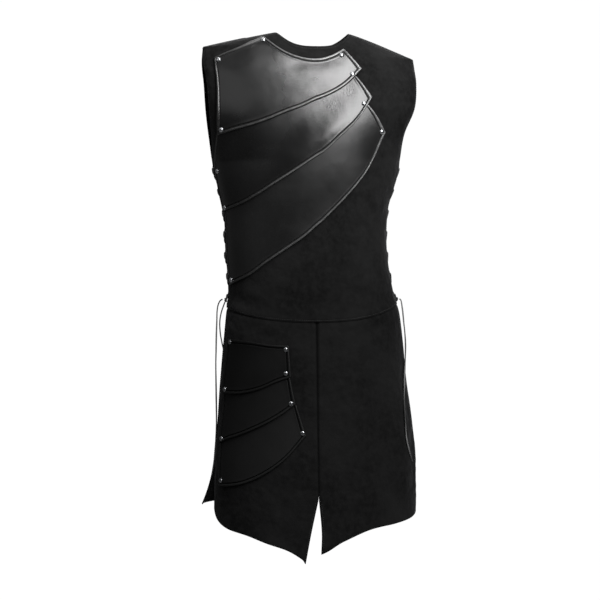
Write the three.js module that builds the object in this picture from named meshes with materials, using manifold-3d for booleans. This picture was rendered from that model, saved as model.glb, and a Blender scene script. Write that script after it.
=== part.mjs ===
// Renaissance vest: a long sleeveless jerkin of black split suede, laced up both sides, with three
// overlapping leather plates riveted across the chest and three more on the right hip.
//
// Millimetres, +Z up. The wearer faces -Y, so the wearer's right is -X. Heights are given as "down",
// the distance below the top of the shoulder seams beside the neck, and a place round the body as
// "turn", in degrees from the centre line: -90 is the right side edge and +90 the left. The whole is
// raised by the suede's thickness, so that the origin lies between the shoulders, where the wearer
// carries the cloth.

import * as THREE from 'three';
import { mergeVertices } from 'three/addons/utils/BufferGeometryUtils.js';
import Module from 'manifold-3d';

const wasm = await Module();
wasm.setup();

// ---- Driving dimensions ----

const SUEDE = 2;
const SEAM_GAP = 0.3;

const NECK_HALF_WIDTH = 74;
const NECK_DROP = { front: 31, back: 24 };
const NECK_ROUND = 3;
const SHOULDER = {
  right: { drop: 30, reach: 214 },
  left: { drop: 50, reach: 206 },
};
const SHOULDER_SLOPE = 1.15;
const SHOULDER_SEAM_Y = 5;
const UNDERARM = 254;
const SIDE_EDGE_Y = { front: 1, back: 15 };

// How square the body's cross section is: 2 and 2 would be a plain ellipse.
const SQUARE_ACROSS = 2.3;
const SQUARE_DEEP = 2.2;

// Cross sections: half widths to the wearer's right and left, depths to the front and the back.
const SECTIONS = [
  { down: 0, right: 214, left: 206, front: 45, back: 36 },
  { down: 30, right: 215, left: 206, front: 60, back: 48 },
  { down: 60, right: 216, left: 206, front: 76, back: 62 },
  { down: 100, right: 211, left: 206, front: 94, back: 80 },
  { down: 150, right: 207, left: 200, front: 108, back: 95 },
  { down: 200, right: 202, left: 181, front: 116, back: 103 },
  { down: 272, right: 193, left: 175, front: 118, back: 104 },
  { down: 350, right: 174, left: 154, front: 114, back: 96 },
  { down: 430, right: 170, left: 152, front: 110, back: 90 },
  { down: 510, right: 164, left: 165, front: 108, back: 99 },
  { down: 560, right: 169, left: 179, front: 110, back: 106 },
  { down: 690, right: 181, left: 193, front: 117, back: 120 },
  { down: 770, right: 186, left: 204, front: 122, back: 127 },
  { down: 850, right: 193, left: 211, front: 127, back: 132 },
  { down: 1040, right: 197, left: 213, front: 137, back: 141 },
];

// The armhole's front and back edges, from the shoulder tip (share 0) to the underarm (share 1).
const ARMHOLE = [
  { share: 0, front: 5, back: 5 },
  { share: 0.12, front: -12, back: 18 },
  { share: 0.25, front: -30, back: 30 },
  { share: 0.5, front: -44, back: 41 },
  { share: 0.7, front: -36, back: 35 },
  { share: 0.88, front: -16, back: 22 },
  { share: 1, front: 1, back: 15 },
];

// The waist seam's level at the side edges and how much lower it dips at the centre.
const WAIST = {
  front: { right: 547, left: 536, centre: 568 },
  back: { right: 545, left: 539, centre: 548 },
};
const WAIST_ROUND = 2.5;

// The front skirt's hem, from the vent to the side, on each side of the centre front.
const HEM = {
  right: [
    { turn: 6.3, down: 1036 },
    { turn: 8.5, down: 1027 },
    { turn: 17, down: 1010 },
    { turn: 30, down: 997 },
    { turn: 44, down: 984 },
    { turn: 65, down: 974 },
    { turn: 81, down: 960 },
    { turn: 90, down: 946 },
  ],
  left: [
    { turn: 0.3, down: 1018 },
    { turn: 2.8, down: 1012 },
    { turn: 9.5, down: 995 },
    { turn: 25, down: 974 },
    { turn: 44, down: 967 },
    { turn: 65, down: 961 },
    { turn: 90, down: 950 },
  ],
};

// The centre front seam, and below it the vent's two edges.
const CENTRE_FRONT = {
  right: [
    { down: 560, x: -5 },
    { down: 912, x: -2.8, corner: true },
    { down: 975, x: -17 },
    { down: 1036, x: -29 },
  ],
  left: [
    { down: 560, x: -4.7 },
    { down: 912, x: -2.5, corner: true },
    { down: 975, x: 2.6 },
    { down: 1018, x: 1.4 },
  ],
};

// The back skirt: its side edges draw back towards the hem, and the right corner kicks outwards.
const BACK_HEM = 946;
const BACK_SKIRT_EDGE = [
  { down: 545, y: 15 },
  { down: 700, y: 16 },
  { down: 850, y: 30 },
  { down: 946, y: 58 },
];
const BACK_KICK = { from: 840, right: 20, left: 2 };

const COLUMNS_ROUND = 9;
const SKIRT_COLUMNS = 9;

// Plates lie on the panels like shingles: each one's lower band rides over the next one's top.
const PLATE = {
  thickness: 2.6,
  lift: { chest: 2.45, hip: 1.3 },
  lap_gap: 1.25,
  lap: 18,
  ramp: 20,
  bead: 0.8,
  bead_width: 5.5,
  bead_slope: 1.5,
};

// Each plate's ribs, from the wearer's right to left: where each starts on top and ends at the foot,
// and how far the middle of a rib bows to the left, in turn. laps: its foot rides over the next plate.
const PLATES = [
  {
    name: 'chest_plate_upper',
    laps: true,
    ribs: [
      { top_turn: -63, top_down: 55, foot_turn: -68, foot_down: 206, bow: 0 },
      { top_turn: -50, top_down: 44, foot_turn: -50, foot_down: 197, bow: 0 },
      { top_turn: -38, top_down: 31, foot_turn: -35, foot_down: 188, bow: 0 },
      { top_turn: -24.5, top_down: 13, foot_turn: -24, foot_down: 177, bow: 0, corner: true },
      { top_turn: -16, top_down: 37, foot_turn: -14, foot_down: 163, bow: 0 },
      { top_turn: -9, top_down: 51, foot_turn: -7, foot_down: 153, bow: 0 },
      { top_turn: -1, top_down: 58, foot_turn: 1, foot_down: 136, bow: 0 },
      { top_turn: 5.5, top_down: 52, foot_turn: 11, foot_down: 114, bow: 0 },
      { top_turn: 12.5, top_down: 38, foot_turn: 22, foot_down: 79, bow: 0 },
    ],
  },
  {
    name: 'chest_plate_middle',
    laps: true,
    ribs: [
      { top_turn: -67.5, top_down: 190, foot_turn: -81, foot_down: 354, bow: -5.5 },
      { top_turn: -48, top_down: 181, foot_turn: -54, foot_down: 340, bow: -2 },
      { top_turn: -33, top_down: 171, foot_turn: -38, foot_down: 323, bow: 0 },
      { top_turn: -21, top_down: 157, foot_turn: -26, foot_down: 304, bow: 0 },
      { top_turn: -10, top_down: 141, foot_turn: -12, foot_down: 277, bow: 0 },
      { top_turn: -1, top_down: 122, foot_turn: -1, foot_down: 248, bow: 0 },
      { top_turn: 7, top_down: 105, foot_turn: 9, foot_down: 214, bow: 0 },
      { top_turn: 12.5, top_down: 93, foot_turn: 19, foot_down: 181, bow: 0 },
      { top_turn: 16, top_down: 84, foot_turn: 28, foot_down: 133, bow: 0 },
    ],
  },
  {
    name: 'chest_plate_lower',
    laps: false,
    ribs: [
      { top_turn: -80, top_down: 338, foot_turn: -80, foot_down: 500, bow: 0 },
      { top_turn: -53, top_down: 324, foot_turn: -50, foot_down: 479, bow: 0 },
      { top_turn: -37, top_down: 307, foot_turn: -33, foot_down: 453, bow: 0 },
      { top_turn: -25, top_down: 288, foot_turn: -20, foot_down: 430, bow: 0 },
      { top_turn: -12, top_down: 261, foot_turn: -7, foot_down: 402, bow: 0 },
      { top_turn: -2, top_down: 232, foot_turn: 4, foot_down: 364, bow: 0 },
      { top_turn: 8, top_down: 198, foot_turn: 17, foot_down: 323, bow: 0 },
      { top_turn: 17, top_down: 165, foot_turn: 29, foot_down: 277, bow: 0 },
      { top_turn: 23, top_down: 140, foot_turn: 44, foot_down: 199, bow: 0 },
    ],
  },
  {
    name: 'hip_plate_upper',
    laps: true,
    ribs: [
      { top_turn: -75, top_down: 604, foot_turn: -74, foot_down: 711, bow: 0 },
      { top_turn: -60, top_down: 605, foot_turn: -62, foot_down: 711, bow: 0 },
      { top_turn: -45, top_down: 606.5, foot_turn: -49, foot_down: 708.5, bow: 0 },
      { top_turn: -32, top_down: 610.5, foot_turn: -35, foot_down: 699, bow: 0 },
      { top_turn: -24.5, top_down: 612, foot_turn: -24, foot_down: 685, bow: 0 },
      { top_turn: -16.4, top_down: 613, foot_turn: -14.5, foot_down: 675, bow: 0 },
    ],
  },
  {
    name: 'hip_plate_middle',
    laps: true,
    ribs: [
      { top_turn: -74, top_down: 696, foot_turn: -73.5, foot_down: 811, bow: 0 },
      { top_turn: -62, top_down: 696, foot_turn: -62, foot_down: 800, bow: 0 },
      { top_turn: -49, top_down: 693, foot_turn: -48, foot_down: 788, bow: 0 },
      { top_turn: -36, top_down: 683, foot_turn: -33, foot_down: 769.5, bow: 0 },
      { top_turn: -24.5, top_down: 669, foot_turn: -21.5, foot_down: 750, bow: 0 },
      { top_turn: -16.2, top_down: 660, foot_turn: -11.7, foot_down: 727, bow: 0 },
    ],
  },
  {
    name: 'hip_plate_lower',
    laps: false,
    ribs: [
      { top_turn: -73.5, top_down: 796, foot_turn: -74, foot_down: 894, bow: 0 },
      { top_turn: -62, top_down: 786, foot_turn: -61, foot_down: 892, bow: 0 },
      { top_turn: -48, top_down: 774, foot_turn: -46, foot_down: 884, bow: 0 },
      { top_turn: -33, top_down: 755.5, foot_turn: -31, foot_down: 865, bow: 0 },
      { top_turn: -21, top_down: 737, foot_turn: -17.5, foot_down: 834, bow: 0 },
      { top_turn: -12.4, top_down: 717, foot_turn: -5.9, foot_down: 787.5, bow: 0 },
    ],
  },
];

const RIVET = { radius: 4.6, height: 3, sides: 8, clearance: 0.35 };
const RIVETS = [
  { name: 'rivet_chest_upper_neck', plate: 'chest_plate_upper', turn: -24.8, down: 21 },
  { name: 'rivet_chest_upper_shoulder', plate: 'chest_plate_upper', turn: -58.5, down: 60 },
  { name: 'rivet_chest_upper_breast', plate: 'chest_plate_upper', turn: 11.1, down: 52 },
  { name: 'rivet_chest_upper_tip', plate: 'chest_plate_upper', turn: 16, down: 90 },
  { name: 'rivet_chest_upper_armhole', plate: 'chest_plate_upper', turn: -62.5, down: 195 },
  { name: 'rivet_chest_middle_tip', plate: 'chest_plate_middle', turn: 22.6, down: 147 },
  { name: 'rivet_chest_middle_underarm', plate: 'chest_plate_middle', turn: -75, down: 274 },
  { name: 'rivet_chest_middle_side', plate: 'chest_plate_middle', turn: -74.8, down: 345 },
  { name: 'rivet_chest_lower_tip', plate: 'chest_plate_lower', turn: 40, down: 199 },
  { name: 'rivet_chest_lower_side', plate: 'chest_plate_lower', turn: -75, down: 488 },
  { name: 'rivet_hip_upper_side_top', plate: 'hip_plate_upper', turn: -69.6, down: 610 },
  { name: 'rivet_hip_upper_front_top', plate: 'hip_plate_upper', turn: -18.4, down: 621 },
  { name: 'rivet_hip_upper_front_foot', plate: 'hip_plate_upper', turn: -18, down: 667 },
  { name: 'rivet_hip_upper_side_foot', plate: 'hip_plate_upper', turn: -69.5, down: 703 },
  { name: 'rivet_hip_middle_front', plate: 'hip_plate_middle', turn: -14.6, down: 725 },
  { name: 'rivet_hip_middle_side', plate: 'hip_plate_middle', turn: -69.9, down: 800 },
  { name: 'rivet_hip_lower_front', plate: 'hip_plate_lower', turn: -8, down: 782.5 },
  { name: 'rivet_hip_lower_side', plate: 'hip_plate_lower', turn: -69.6, down: 882 },
];

// Side lacing: one lace up each side, through seven pairs of eyelets.
const LACE_RADIUS = 1.5;
const LACE_SIDES = 6;
const EYELET = { radius: 2.6, inset: 9, rows: 7, first_down: 266, pitch: 42 };
const LACE_OVER = 2.2;
const LACE_UNDER = -4.4;
const LACE_CROSS = { high: 1.5, low: -2.7 };
const KNOT = { radius: 5, down: 529, off: 4.5 };

// Free ends of the laces: hand-laid routes from the knot to the bare end, in x, y and down.
const FREE_ENDS = [
  {
    name: 'lace_end_right_outer',
    route: [
      { x: -176.8, y: 8, down: 528 },
      { x: -181, y: 8, down: 530 },
      { x: -185.4, y: 8, down: 538 },
      { x: -187.8, y: 8, down: 552 },
      { x: -188.4, y: 8, down: 572 },
      { x: -189.4, y: 8, down: 600 },
      { x: -190, y: 8, down: 630 },
      { x: -190.6, y: 8, down: 660 },
      { x: -190, y: 8, down: 715 },
      { x: -189.6, y: 8, down: 770 },
      { x: -191, y: 8, down: 810 },
      { x: -193.4, y: 8, down: 845 },
      { x: -199, y: 8, down: 880 },
    ],
  },
  {
    name: 'lace_end_right_inner',
    route: [
      { x: -172.4, y: 7, down: 533.9 },
      { x: -175.5, y: 7, down: 542 },
      { x: -180, y: 7, down: 556 },
      { x: -182.6, y: 7, down: 574 },
      { x: -181.5, y: 7, down: 596 },
      { x: -178, y: 7, down: 616 },
      { x: -173, y: 7.5, down: 640 },
      { x: -170, y: 8, down: 670 },
      { x: -169.5, y: 8, down: 720 },
      { x: -171, y: 8, down: 780 },
      { x: -172, y: 8, down: 840 },
    ],
  },
  {
    name: 'lace_end_left_outer',
    route: [
      { x: 181.6, y: 6, down: 529 },
      { x: 184, y: 4, down: 532 },
      { x: 185, y: 1, down: 540 },
      { x: 186.5, y: -3, down: 556 },
      { x: 187.5, y: -8, down: 576 },
      { x: 188.5, y: -14, down: 596 },
      { x: 188, y: -24, down: 620 },
      { x: 184, y: -42, down: 650 },
      { x: 180, y: -56, down: 690 },
      { x: 178, y: -66, down: 730 },
      { x: 178.5, y: -72, down: 770 },
      { x: 180.5, y: -74, down: 800 },
      { x: 187, y: -68, down: 826 },
      { x: 196, y: -58, down: 850 },
    ],
  },
];

// ---- Materials ----

const SUEDE_BLACK = new THREE.MeshStandardMaterial({ color: 0x191919, roughness: 0.95, metalness: 0 });
const PLATE_BLACK = new THREE.MeshStandardMaterial({ color: 0x101010, roughness: 0.4, metalness: 0 });
const HIP_BLACK = new THREE.MeshStandardMaterial({ color: 0x141414, roughness: 0.65, metalness: 0 });
const LACE_BLACK = new THREE.MeshStandardMaterial({ color: 0x1c1c1c, roughness: 0.7, metalness: 0 });
const NICKEL = new THREE.MeshStandardMaterial({ color: 0xb9bcc0, roughness: 0.25, metalness: 1 });

// ---- Reading the tables ----

// A smooth value between a table's rows. A row marked corner keeps its corner.
function read(table, by, want, at) {
  const last = table.length - 1;
  if (at <= table[0][by]) return table[0][want];
  if (at >= table[last][by]) return table[last][want];
  let row = 0;
  while (at > table[row + 1][by]) row += 1;
  const span = table[row + 1][by] - table[row][by];
  const slope = (index) => {
    const from = table[index].corner ? row : Math.max(index - 1, 0);
    const to = table[index].corner ? row + 1 : Math.min(index + 1, last);
    return (table[to][want] - table[from][want]) / (table[to][by] - table[from][by]);
  };
  const share = (at - table[row][by]) / span;
  const start = table[row][want];
  const end = table[row + 1][want];
  const leave = slope(row) * span;
  const arrive = slope(row + 1) * span;
  const square = share * share;
  const cube = square * share;
  return (2 * cube - 3 * square + 1) * start + (cube - 2 * square + share) * leave
    + (3 * square - 2 * cube) * end + (cube - square) * arrive;
}

const sideOf = (x) => (x < 0 ? 'right' : 'left');
const radians = THREE.MathUtils.degToRad;
const mix = THREE.MathUtils.lerp;

// ---- The body's form ----

// The half width of a section, past its edge where the shoulder slopes away.
function outerWidth(face, side, down) {
  const width = read(SECTIONS, 'down', side, Math.max(down, SHOULDER[side].drop));
  if (face === 'front' || down < BACK_KICK.from) return width;
  const share = Math.min(1, (down - BACK_KICK.from) / (BACK_HEM - BACK_KICK.from));
  return width + BACK_KICK[side] * share * share;
}

function ridgeWidth(side, down) {
  const { drop, reach } = SHOULDER[side];
  const share = Math.max(down, 0) / drop;
  return NECK_HALF_WIDTH + (reach - NECK_HALF_WIDTH) * share ** (1 / SHOULDER_SLOPE);
}

// Where a panel's side edge lies, front to back.
function edgeY(face, side, down) {
  const { drop } = SHOULDER[side];
  if (down <= drop) return SHOULDER_SEAM_Y + (face === 'front' ? -0.5 : 0.5) * SEAM_GAP;
  if (down < UNDERARM) return read(ARMHOLE, 'share', face, (down - drop) / (UNDERARM - drop));
  if (face === 'back') return read(BACK_SKIRT_EDGE, 'down', 'y', down);
  return SIDE_EDGE_Y.front;
}

function acrossShare(turn) {
  return Math.sin(radians(Math.abs(turn))) ** (2 / SQUARE_ACROSS);
}

// The point of the body's outer face at a given x and height.
function bodyPoint(face, x, down) {
  const side = sideOf(x);
  const { drop } = SHOULDER[side];
  const width = down < drop ? ridgeWidth(side, down) : outerWidth(face, side, down);
  const share = Math.min(1, Math.abs(x) / width);
  const depth = read(SECTIONS, 'down', face, down) * (face === 'front' ? -1 : 1);
  const edge = edgeY(face, side, down);
  const y = edge + (depth - edge) * (1 - share ** SQUARE_ACROSS) ** (1 / SQUARE_DEEP);
  return new THREE.Vector3(x, y, -down);
}

// The same, by the turn round the body.
function turnPoint(face, turn, down) {
  const side = sideOf(turn);
  const x = Math.sign(turn) * acrossShare(turn) * outerWidth(face, side, down);
  return bodyPoint(face, x, down);
}

function turnOf(x, down) {
  const share = Math.min(1, Math.abs(x) / outerWidth('front', sideOf(x), down));
  const degrees = THREE.MathUtils.radToDeg(Math.asin(share ** (SQUARE_ACROSS / 2)));
  return Math.sign(x) * degrees;
}

// The top edge of a body panel: the neckline, then the shoulder seam.
function topDown(face, x) {
  const { drop, reach } = SHOULDER[sideOf(x)];
  const out = Math.abs(x);
  if (out < NECK_HALF_WIDTH) return NECK_DROP[face] * (1 - (out / NECK_HALF_WIDTH) ** NECK_ROUND);
  return drop * ((out - NECK_HALF_WIDTH) / (reach - NECK_HALF_WIDTH)) ** SHOULDER_SLOPE;
}

function waistDown(face, share, side) {
  const level = WAIST[face];
  return mix(level.centre, level[side], Math.abs(share) ** WAIST_ROUND);
}

// ---- Walls ----

function gridNormals(grid) {
  const rows = grid.length - 1;
  const columns = grid[0].length - 1;
  return grid.map((line, row) => line.map((point, column) => {
    const up = grid[Math.min(row + 1, rows)][column];
    const down = grid[Math.max(row - 1, 0)][column];
    const along = line[Math.min(column + 1, columns)];
    const back = line[Math.max(column - 1, 0)];
    const upwards = up.clone().sub(down);
    const sideways = along.clone().sub(back);
    return sideways.cross(upwards).normalize();
  }));
}

// A closed body between two grids of points, the outer one facing along its normals.
function between(outer, inner) {
  const rows = outer.length;
  const columns = outer[0].length;
  const positions = [];
  for (const grid of [outer, inner]) {
    for (const line of grid) for (const point of line) positions.push(point.x, point.y, point.z);
  }
  const faces = [];
  const quad = (a, b, c, d) => faces.push(a, b, c, a, c, d);
  const index = (layer, row, column) => (layer * rows + row) * columns + column;
  for (let row = 0; row < rows - 1; row += 1) {
    for (let column = 0; column < columns - 1; column += 1) {
      quad(index(0, row, column), index(0, row, column + 1),
        index(0, row + 1, column + 1), index(0, row + 1, column));
      quad(index(1, row, column), index(1, row + 1, column),
        index(1, row + 1, column + 1), index(1, row, column + 1));
    }
  }
  for (let row = 0; row < rows - 1; row += 1) {
    const end = columns - 1;
    quad(index(0, row, 0), index(0, row + 1, 0), index(1, row + 1, 0), index(1, row, 0));
    quad(index(0, row, end), index(1, row, end), index(1, row + 1, end), index(0, row + 1, end));
  }
  for (let column = 0; column < columns - 1; column += 1) {
    const end = rows - 1;
    quad(index(0, 0, column), index(1, 0, column), index(1, 0, column + 1), index(0, 0, column + 1));
    quad(index(0, end, column), index(0, end, column + 1),
      index(1, end, column + 1), index(1, end, column));
  }
  const geometry = new THREE.BufferGeometry();
  geometry.setAttribute('position', new THREE.Float32BufferAttribute(positions, 3));
  geometry.setIndex(faces);
  return geometry;
}

function moved(grid, normals, distance) {
  return grid.map((line, row) => line.map((point, column) => {
    const far = typeof distance === 'function' ? distance(row, column) : distance;
    return point.clone().addScaledVector(normals[row][column], far);
  }));
}

// A suede panel. flatten says which part of a normal is dropped at an edge that meets a neighbour,
// so that the two edges stay square to each other.
function panel(grid, flatten) {
  const normals = gridNormals(grid);
  normals.forEach((line, row) => line.forEach((normal, column) => {
    for (const axis of flatten(row, column)) normal[axis] = 0;
    normal.normalize();
  }));
  return between(grid, moved(grid, normals, -SUEDE));
}

// ---- Booleans ----

function toSolid(geometry) {
  const bare = geometry.clone();
  for (const name of Object.keys(bare.attributes)) {
    if (name !== 'position') bare.deleteAttribute(name);
  }
  const merged = mergeVertices(bare, 1e-4);
  return new wasm.Manifold(new wasm.Mesh({
    numProp: 3,
    vertProperties: new Float32Array(merged.attributes.position.array),
    triVerts: new Uint32Array(merged.index.array),
  }));
}

function toGeometry(solid) {
  const mesh = solid.getMesh();
  const geometry = new THREE.BufferGeometry();
  geometry.setAttribute('position', new THREE.BufferAttribute(mesh.vertProperties, 3));
  geometry.setIndex(new THREE.BufferAttribute(mesh.triVerts, 1));
  return geometry;
}

// ---- Body panels ----

// Shares of the half width, from the centre out, with a column where the neck meets the shoulder.
function columnShares(side) {
  const neck = NECK_HALF_WIDTH / SHOULDER[side].reach;
  const neckTurn = THREE.MathUtils.radToDeg(Math.asin(neck ** (SQUARE_ACROSS / 2)));
  const shares = NECK_COLUMNS.map((share) => share * neck);
  for (let step = 1; step <= COLUMNS_ROUND; step += 1) {
    shares.push(acrossShare(mix(neckTurn, 90, step / COLUMNS_ROUND)));
  }
  return shares;
}

const NECK_COLUMNS = [0, 0.45, 0.8, 0.95, 1];
const BODY_ROWS = { front: 20, back: 16 };
const ROW_CROWDING = 1.75;

// Rows run from the waist up, crowding towards the shoulder; columns run left to right as seen.
function bodyGrid(face) {
  const right = columnShares('right').map((share) => -share).reverse();
  const left = columnShares('left').slice(1);
  const columns = [...right, ...left];
  const rows = BODY_ROWS[face];
  const grid = [];
  for (let row = 0; row <= rows; row += 1) {
    const fromTop = (1 - row / rows) ** ROW_CROWDING;
    grid.push(columns.map((share) => {
      const side = sideOf(share);
      const top = topDown(face, share * SHOULDER[side].reach);
      const down = mix(top, waistDown(face, share, side), fromTop);
      return bodyPoint(face, share * outerWidth(face, side, down), down);
    }));
  }
  if (face === 'back') for (const line of grid) line.reverse();
  return grid;
}

// A body panel meets its neighbours along the waist seam and the shoulder seams.
function bodyFlatten(grid) {
  const top = grid.length - 1;
  const end = grid[0].length - 1;
  return (row, column) => {
    const fromSide = Math.min(column, end - column);
    if (row === 0) return ['z'];
    if (row === top && fromSide <= COLUMNS_ROUND) return ['y'];
    return [];
  };
}

// The point of a grid column at a given height.
function onColumn(grid, column, down) {
  let row = 0;
  while (row < grid.length - 2 && -grid[row + 1][column].z > down) row += 1;
  const low = grid[row][column];
  const high = grid[row + 1][column];
  return low.clone().lerp(high, (-low.z - down) / (high.z - low.z));
}

// The point of a body panel's outer face a little way in from its side edge.
function nearEdge(grid, side, inset, down) {
  const first = grid[0][0].x < 0 ? 'right' : 'left';
  const end = grid[0].length - 1;
  const column = side === first ? 0 : end;
  const next = side === first ? 1 : end - 1;
  const edge = onColumn(grid, column, down);
  const inner = onColumn(grid, next, down);
  return edge.lerp(inner, inset / Math.abs(inner.y - edge.y));
}

function eyeletDown(row) {
  return EYELET.first_down + EYELET.pitch * row;
}

function withEyelets(geometry, grid) {
  let solid = toSolid(geometry);
  for (const side of ['right', 'left']) {
    for (let row = 0; row < EYELET.rows; row += 1) {
      const punch = new THREE.CylinderGeometry(EYELET.radius, EYELET.radius, 6 * SUEDE, 8);
      const at = nearEdge(grid, side, EYELET.inset, eyeletDown(row));
      punch.rotateZ(Math.PI / 2);
      punch.translate(at.x, at.y, at.z);
      solid = solid.subtract(toSolid(punch));
    }
  }
  return toGeometry(solid);
}

// ---- Skirt panels ----

const SKIRT_ROWS = 12;

function frontSkirtGrid(side) {
  const sign = side === 'right' ? -1 : 1;
  const edge = (down) => turnOf(read(CENTRE_FRONT[side], 'down', 'x', down), down) * sign;
  const grid = [];
  for (let row = 0; row <= SKIRT_ROWS; row += 1) {
    const line = [];
    for (let column = 0; column <= SKIRT_COLUMNS; column += 1) {
      const round = column / SKIRT_COLUMNS;
      const hem = HEM[side];
      const turnAtTop = mix(edge(WAIST.front.centre), 90, round);
      const turnAtHem = mix(hem[0].turn, 90, round);
      const top = waistDown('front', acrossShare(turnAtTop), side) + SEAM_GAP;
      const foot = read(hem, 'turn', 'down', turnAtHem);
      const down = mix(foot, top, row / SKIRT_ROWS);
      const share = acrossShare(mix(edge(down), 90, round));
      const x = column === 0
        ? read(CENTRE_FRONT[side], 'down', 'x', down)
        : sign * share * outerWidth('front', side, down);
      line.push(bodyPoint('front', x, down));
    }
    if (side === 'right') line.reverse();
    grid.push(line);
  }
  return grid;
}

function backSkirtGrid() {
  const grid = [];
  for (let row = 0; row <= SKIRT_ROWS - 1; row += 1) {
    const line = [];
    for (let column = -SKIRT_COLUMNS; column <= SKIRT_COLUMNS; column += 1) {
      const turn = (-90 * column) / SKIRT_COLUMNS;
      const top = waistDown('back', acrossShare(turn), sideOf(turn)) + SEAM_GAP;
      line.push(turnPoint('back', turn, mix(BACK_HEM, top, row / (SKIRT_ROWS - 1))));
    }
    grid.push(line);
  }
  return grid;
}

// ---- Plates ----

const PLATE_GRID = {
  chest: { columns: 13, rows: 4 },
  hip: { columns: 7, rows: 1 },
};

const plateArea = (plate) => plate.name.split('_')[0];

// A plate's ribs, each with its distance along the plate.
function spacedRibs(ribs) {
  const middles = ribs.map((rib) => turnPoint(
    'front',
    mix(rib.top_turn, rib.foot_turn, 0.5),
    mix(rib.top_down, rib.foot_down, 0.5),
  ));
  let at = 0;
  return ribs.map((rib, index) => {
    if (index > 0) at += middles[index].distanceTo(middles[index - 1]);
    return { ...rib, at };
  });
}

// A plate's point at a share of the way along it and a share of the way down a rib.
function platePoint(plate, along, across) {
  const { table } = plate;
  const at = along * table[table.length - 1].at;
  const value = (name) => read(table, 'at', name, at);
  const bow = value('bow') * 4 * across * (1 - across);
  const turn = mix(value('top_turn'), value('foot_turn'), across) + bow;
  const down = mix(value('top_down'), value('foot_down'), across);
  return turnPoint('front', turn, down);
}

// Distances along a length, with lines at both sides of the bead at each end.
function beaded(length, firstInner, steps) {
  const { bead_width: bead, bead_slope: slope } = PLATE;
  const lines = [0, bead, bead + slope];
  const end = length - bead - slope;
  for (let step = firstInner > bead + slope ? 0 : 1; step < steps; step += 1) {
    lines.push(mix(firstInner, end, step / steps));
  }
  lines.push(end, length - bead, length);
  return lines;
}

// Distances up from a plate's foot, with lines where its lap ends and where it meets the panel.
function lappedRows(length, steps) {
  const lines = beaded(length, PLATE.lap + PLATE.ramp, steps);
  lines.splice(3, 0, PLATE.lap);
  return lines;
}

function plateGrid(plate) {
  const size = PLATE_GRID[plateArea(plate)];
  const long = platePoint(plate, 0, 0.5).distanceTo(platePoint(plate, 1, 0.5));
  const columns = beaded(long, PLATE.bead_width + PLATE.bead_slope, size.columns);
  const ribs = columns.map((distance) => {
    const along = distance / long;
    const length = platePoint(plate, along, 0).distanceTo(platePoint(plate, along, 1));
    return lappedRows(length, size.rows).map((up) => platePoint(plate, along, 1 - up / length));
  });
  return ribs[0].map((_, row) => ribs.map((rib) => rib[row]));
}

// How far a plate's underside stands off the panel, a distance up from its foot.
function plateLift(plate, fromFoot) {
  const low = PLATE.lift[plateArea(plate)];
  if (!plate.laps) return low;
  const share = THREE.MathUtils.smoothstep(fromFoot, PLATE.lap, PLATE.lap + PLATE.ramp);
  return mix(low + PLATE.thickness + PLATE.lap_gap, low, share);
}

function plateSolid(plate) {
  const grid = plateGrid(plate);
  const normals = gridNormals(grid);
  const rows = grid.length - 1;
  const columns = grid[0].length - 1;
  const fromFoot = (row, column) => grid[row][column].distanceTo(grid[0][column]);
  const lift = (row, column) => plateLift(plate, fromFoot(row, column));
  const covered = plate.name.endsWith('upper') ? 0 : 3;
  const bead = (row, column) => {
    const onEdge = row <= 1 || row >= rows - 1 || column <= 1 || column >= columns - 1;
    return onEdge && row < rows + 1 - covered ? PLATE.bead : 0;
  };
  const top = (row, column) => lift(row, column) + PLATE.thickness + bead(row, column);
  return between(moved(grid, normals, top), moved(grid, normals, lift));
}

// ---- Rivets ----

function rivetMesh(rivet, plates) {
  const plate = plates.find((item) => item.name === rivet.plate);
  const step = 2;
  const at = turnPoint('front', rivet.turn, rivet.down);
  const below = turnPoint('front', rivet.turn, rivet.down + step);
  const beside = turnPoint('front', rivet.turn + step, rivet.down);
  const normal = beside.sub(at).cross(at.clone().sub(below)).normalize();
  const stand = plateLift(plate, footDistance(plate, at)) + PLATE.thickness + PLATE.bead + RIVET.clearance;
  const profile = [
    new THREE.Vector2(0, 0),
    new THREE.Vector2(RIVET.radius, 0),
    new THREE.Vector2(RIVET.radius, 0.25 * RIVET.height),
    new THREE.Vector2(0.72 * RIVET.radius, 0.75 * RIVET.height),
    new THREE.Vector2(0, RIVET.height),
  ];
  const mesh = named(new THREE.LatheGeometry(profile, RIVET.sides), rivet.name, NICKEL);
  mesh.position.copy(at.addScaledVector(normal, stand));
  mesh.quaternion.setFromUnitVectors(new THREE.Vector3(0, 1, 0), normal);
  return mesh;
}

// How far along its rib a point of a plate lies from the foot.
function footDistance(plate, point) {
  const steps = 40;
  let nearest = Infinity;
  let fromFoot = 0;
  for (let along = 0; along <= steps; along += 1) {
    const foot = platePoint(plate, along / steps, 1);
    for (let across = 0; across <= steps; across += 1) {
      const spot = platePoint(plate, along / steps, across / steps);
      const away = spot.distanceTo(point);
      if (away < nearest) {
        nearest = away;
        fromFoot = spot.distanceTo(foot);
      }
    }
  }
  return fromFoot;
}

// ---- Laces ----

// A curve whose sections fall on its own points, so that the tight turns keep their shape.
class LaceCurve extends THREE.CatmullRomCurve3 {
  getPointAt(share, target) {
    return this.getPoint(share, target);
  }

  getTangentAt(share, target) {
    return this.getTangent(share, target);
  }
}

function laceTube(points, sides, steps) {
  const round = new THREE.Shape();
  for (let side = 0; side < sides; side += 1) {
    const angle = (2 * Math.PI * side) / sides;
    const x = LACE_RADIUS * Math.cos(angle);
    const y = LACE_RADIUS * Math.sin(angle);
    if (side === 0) round.moveTo(x, y);
    else round.lineTo(x, y);
  }
  const extrudePath = new LaceCurve(points, false, 'centripetal');
  return new THREE.ExtrudeGeometry(round, { steps, extrudePath, curveSegments: 1 });
}

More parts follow.
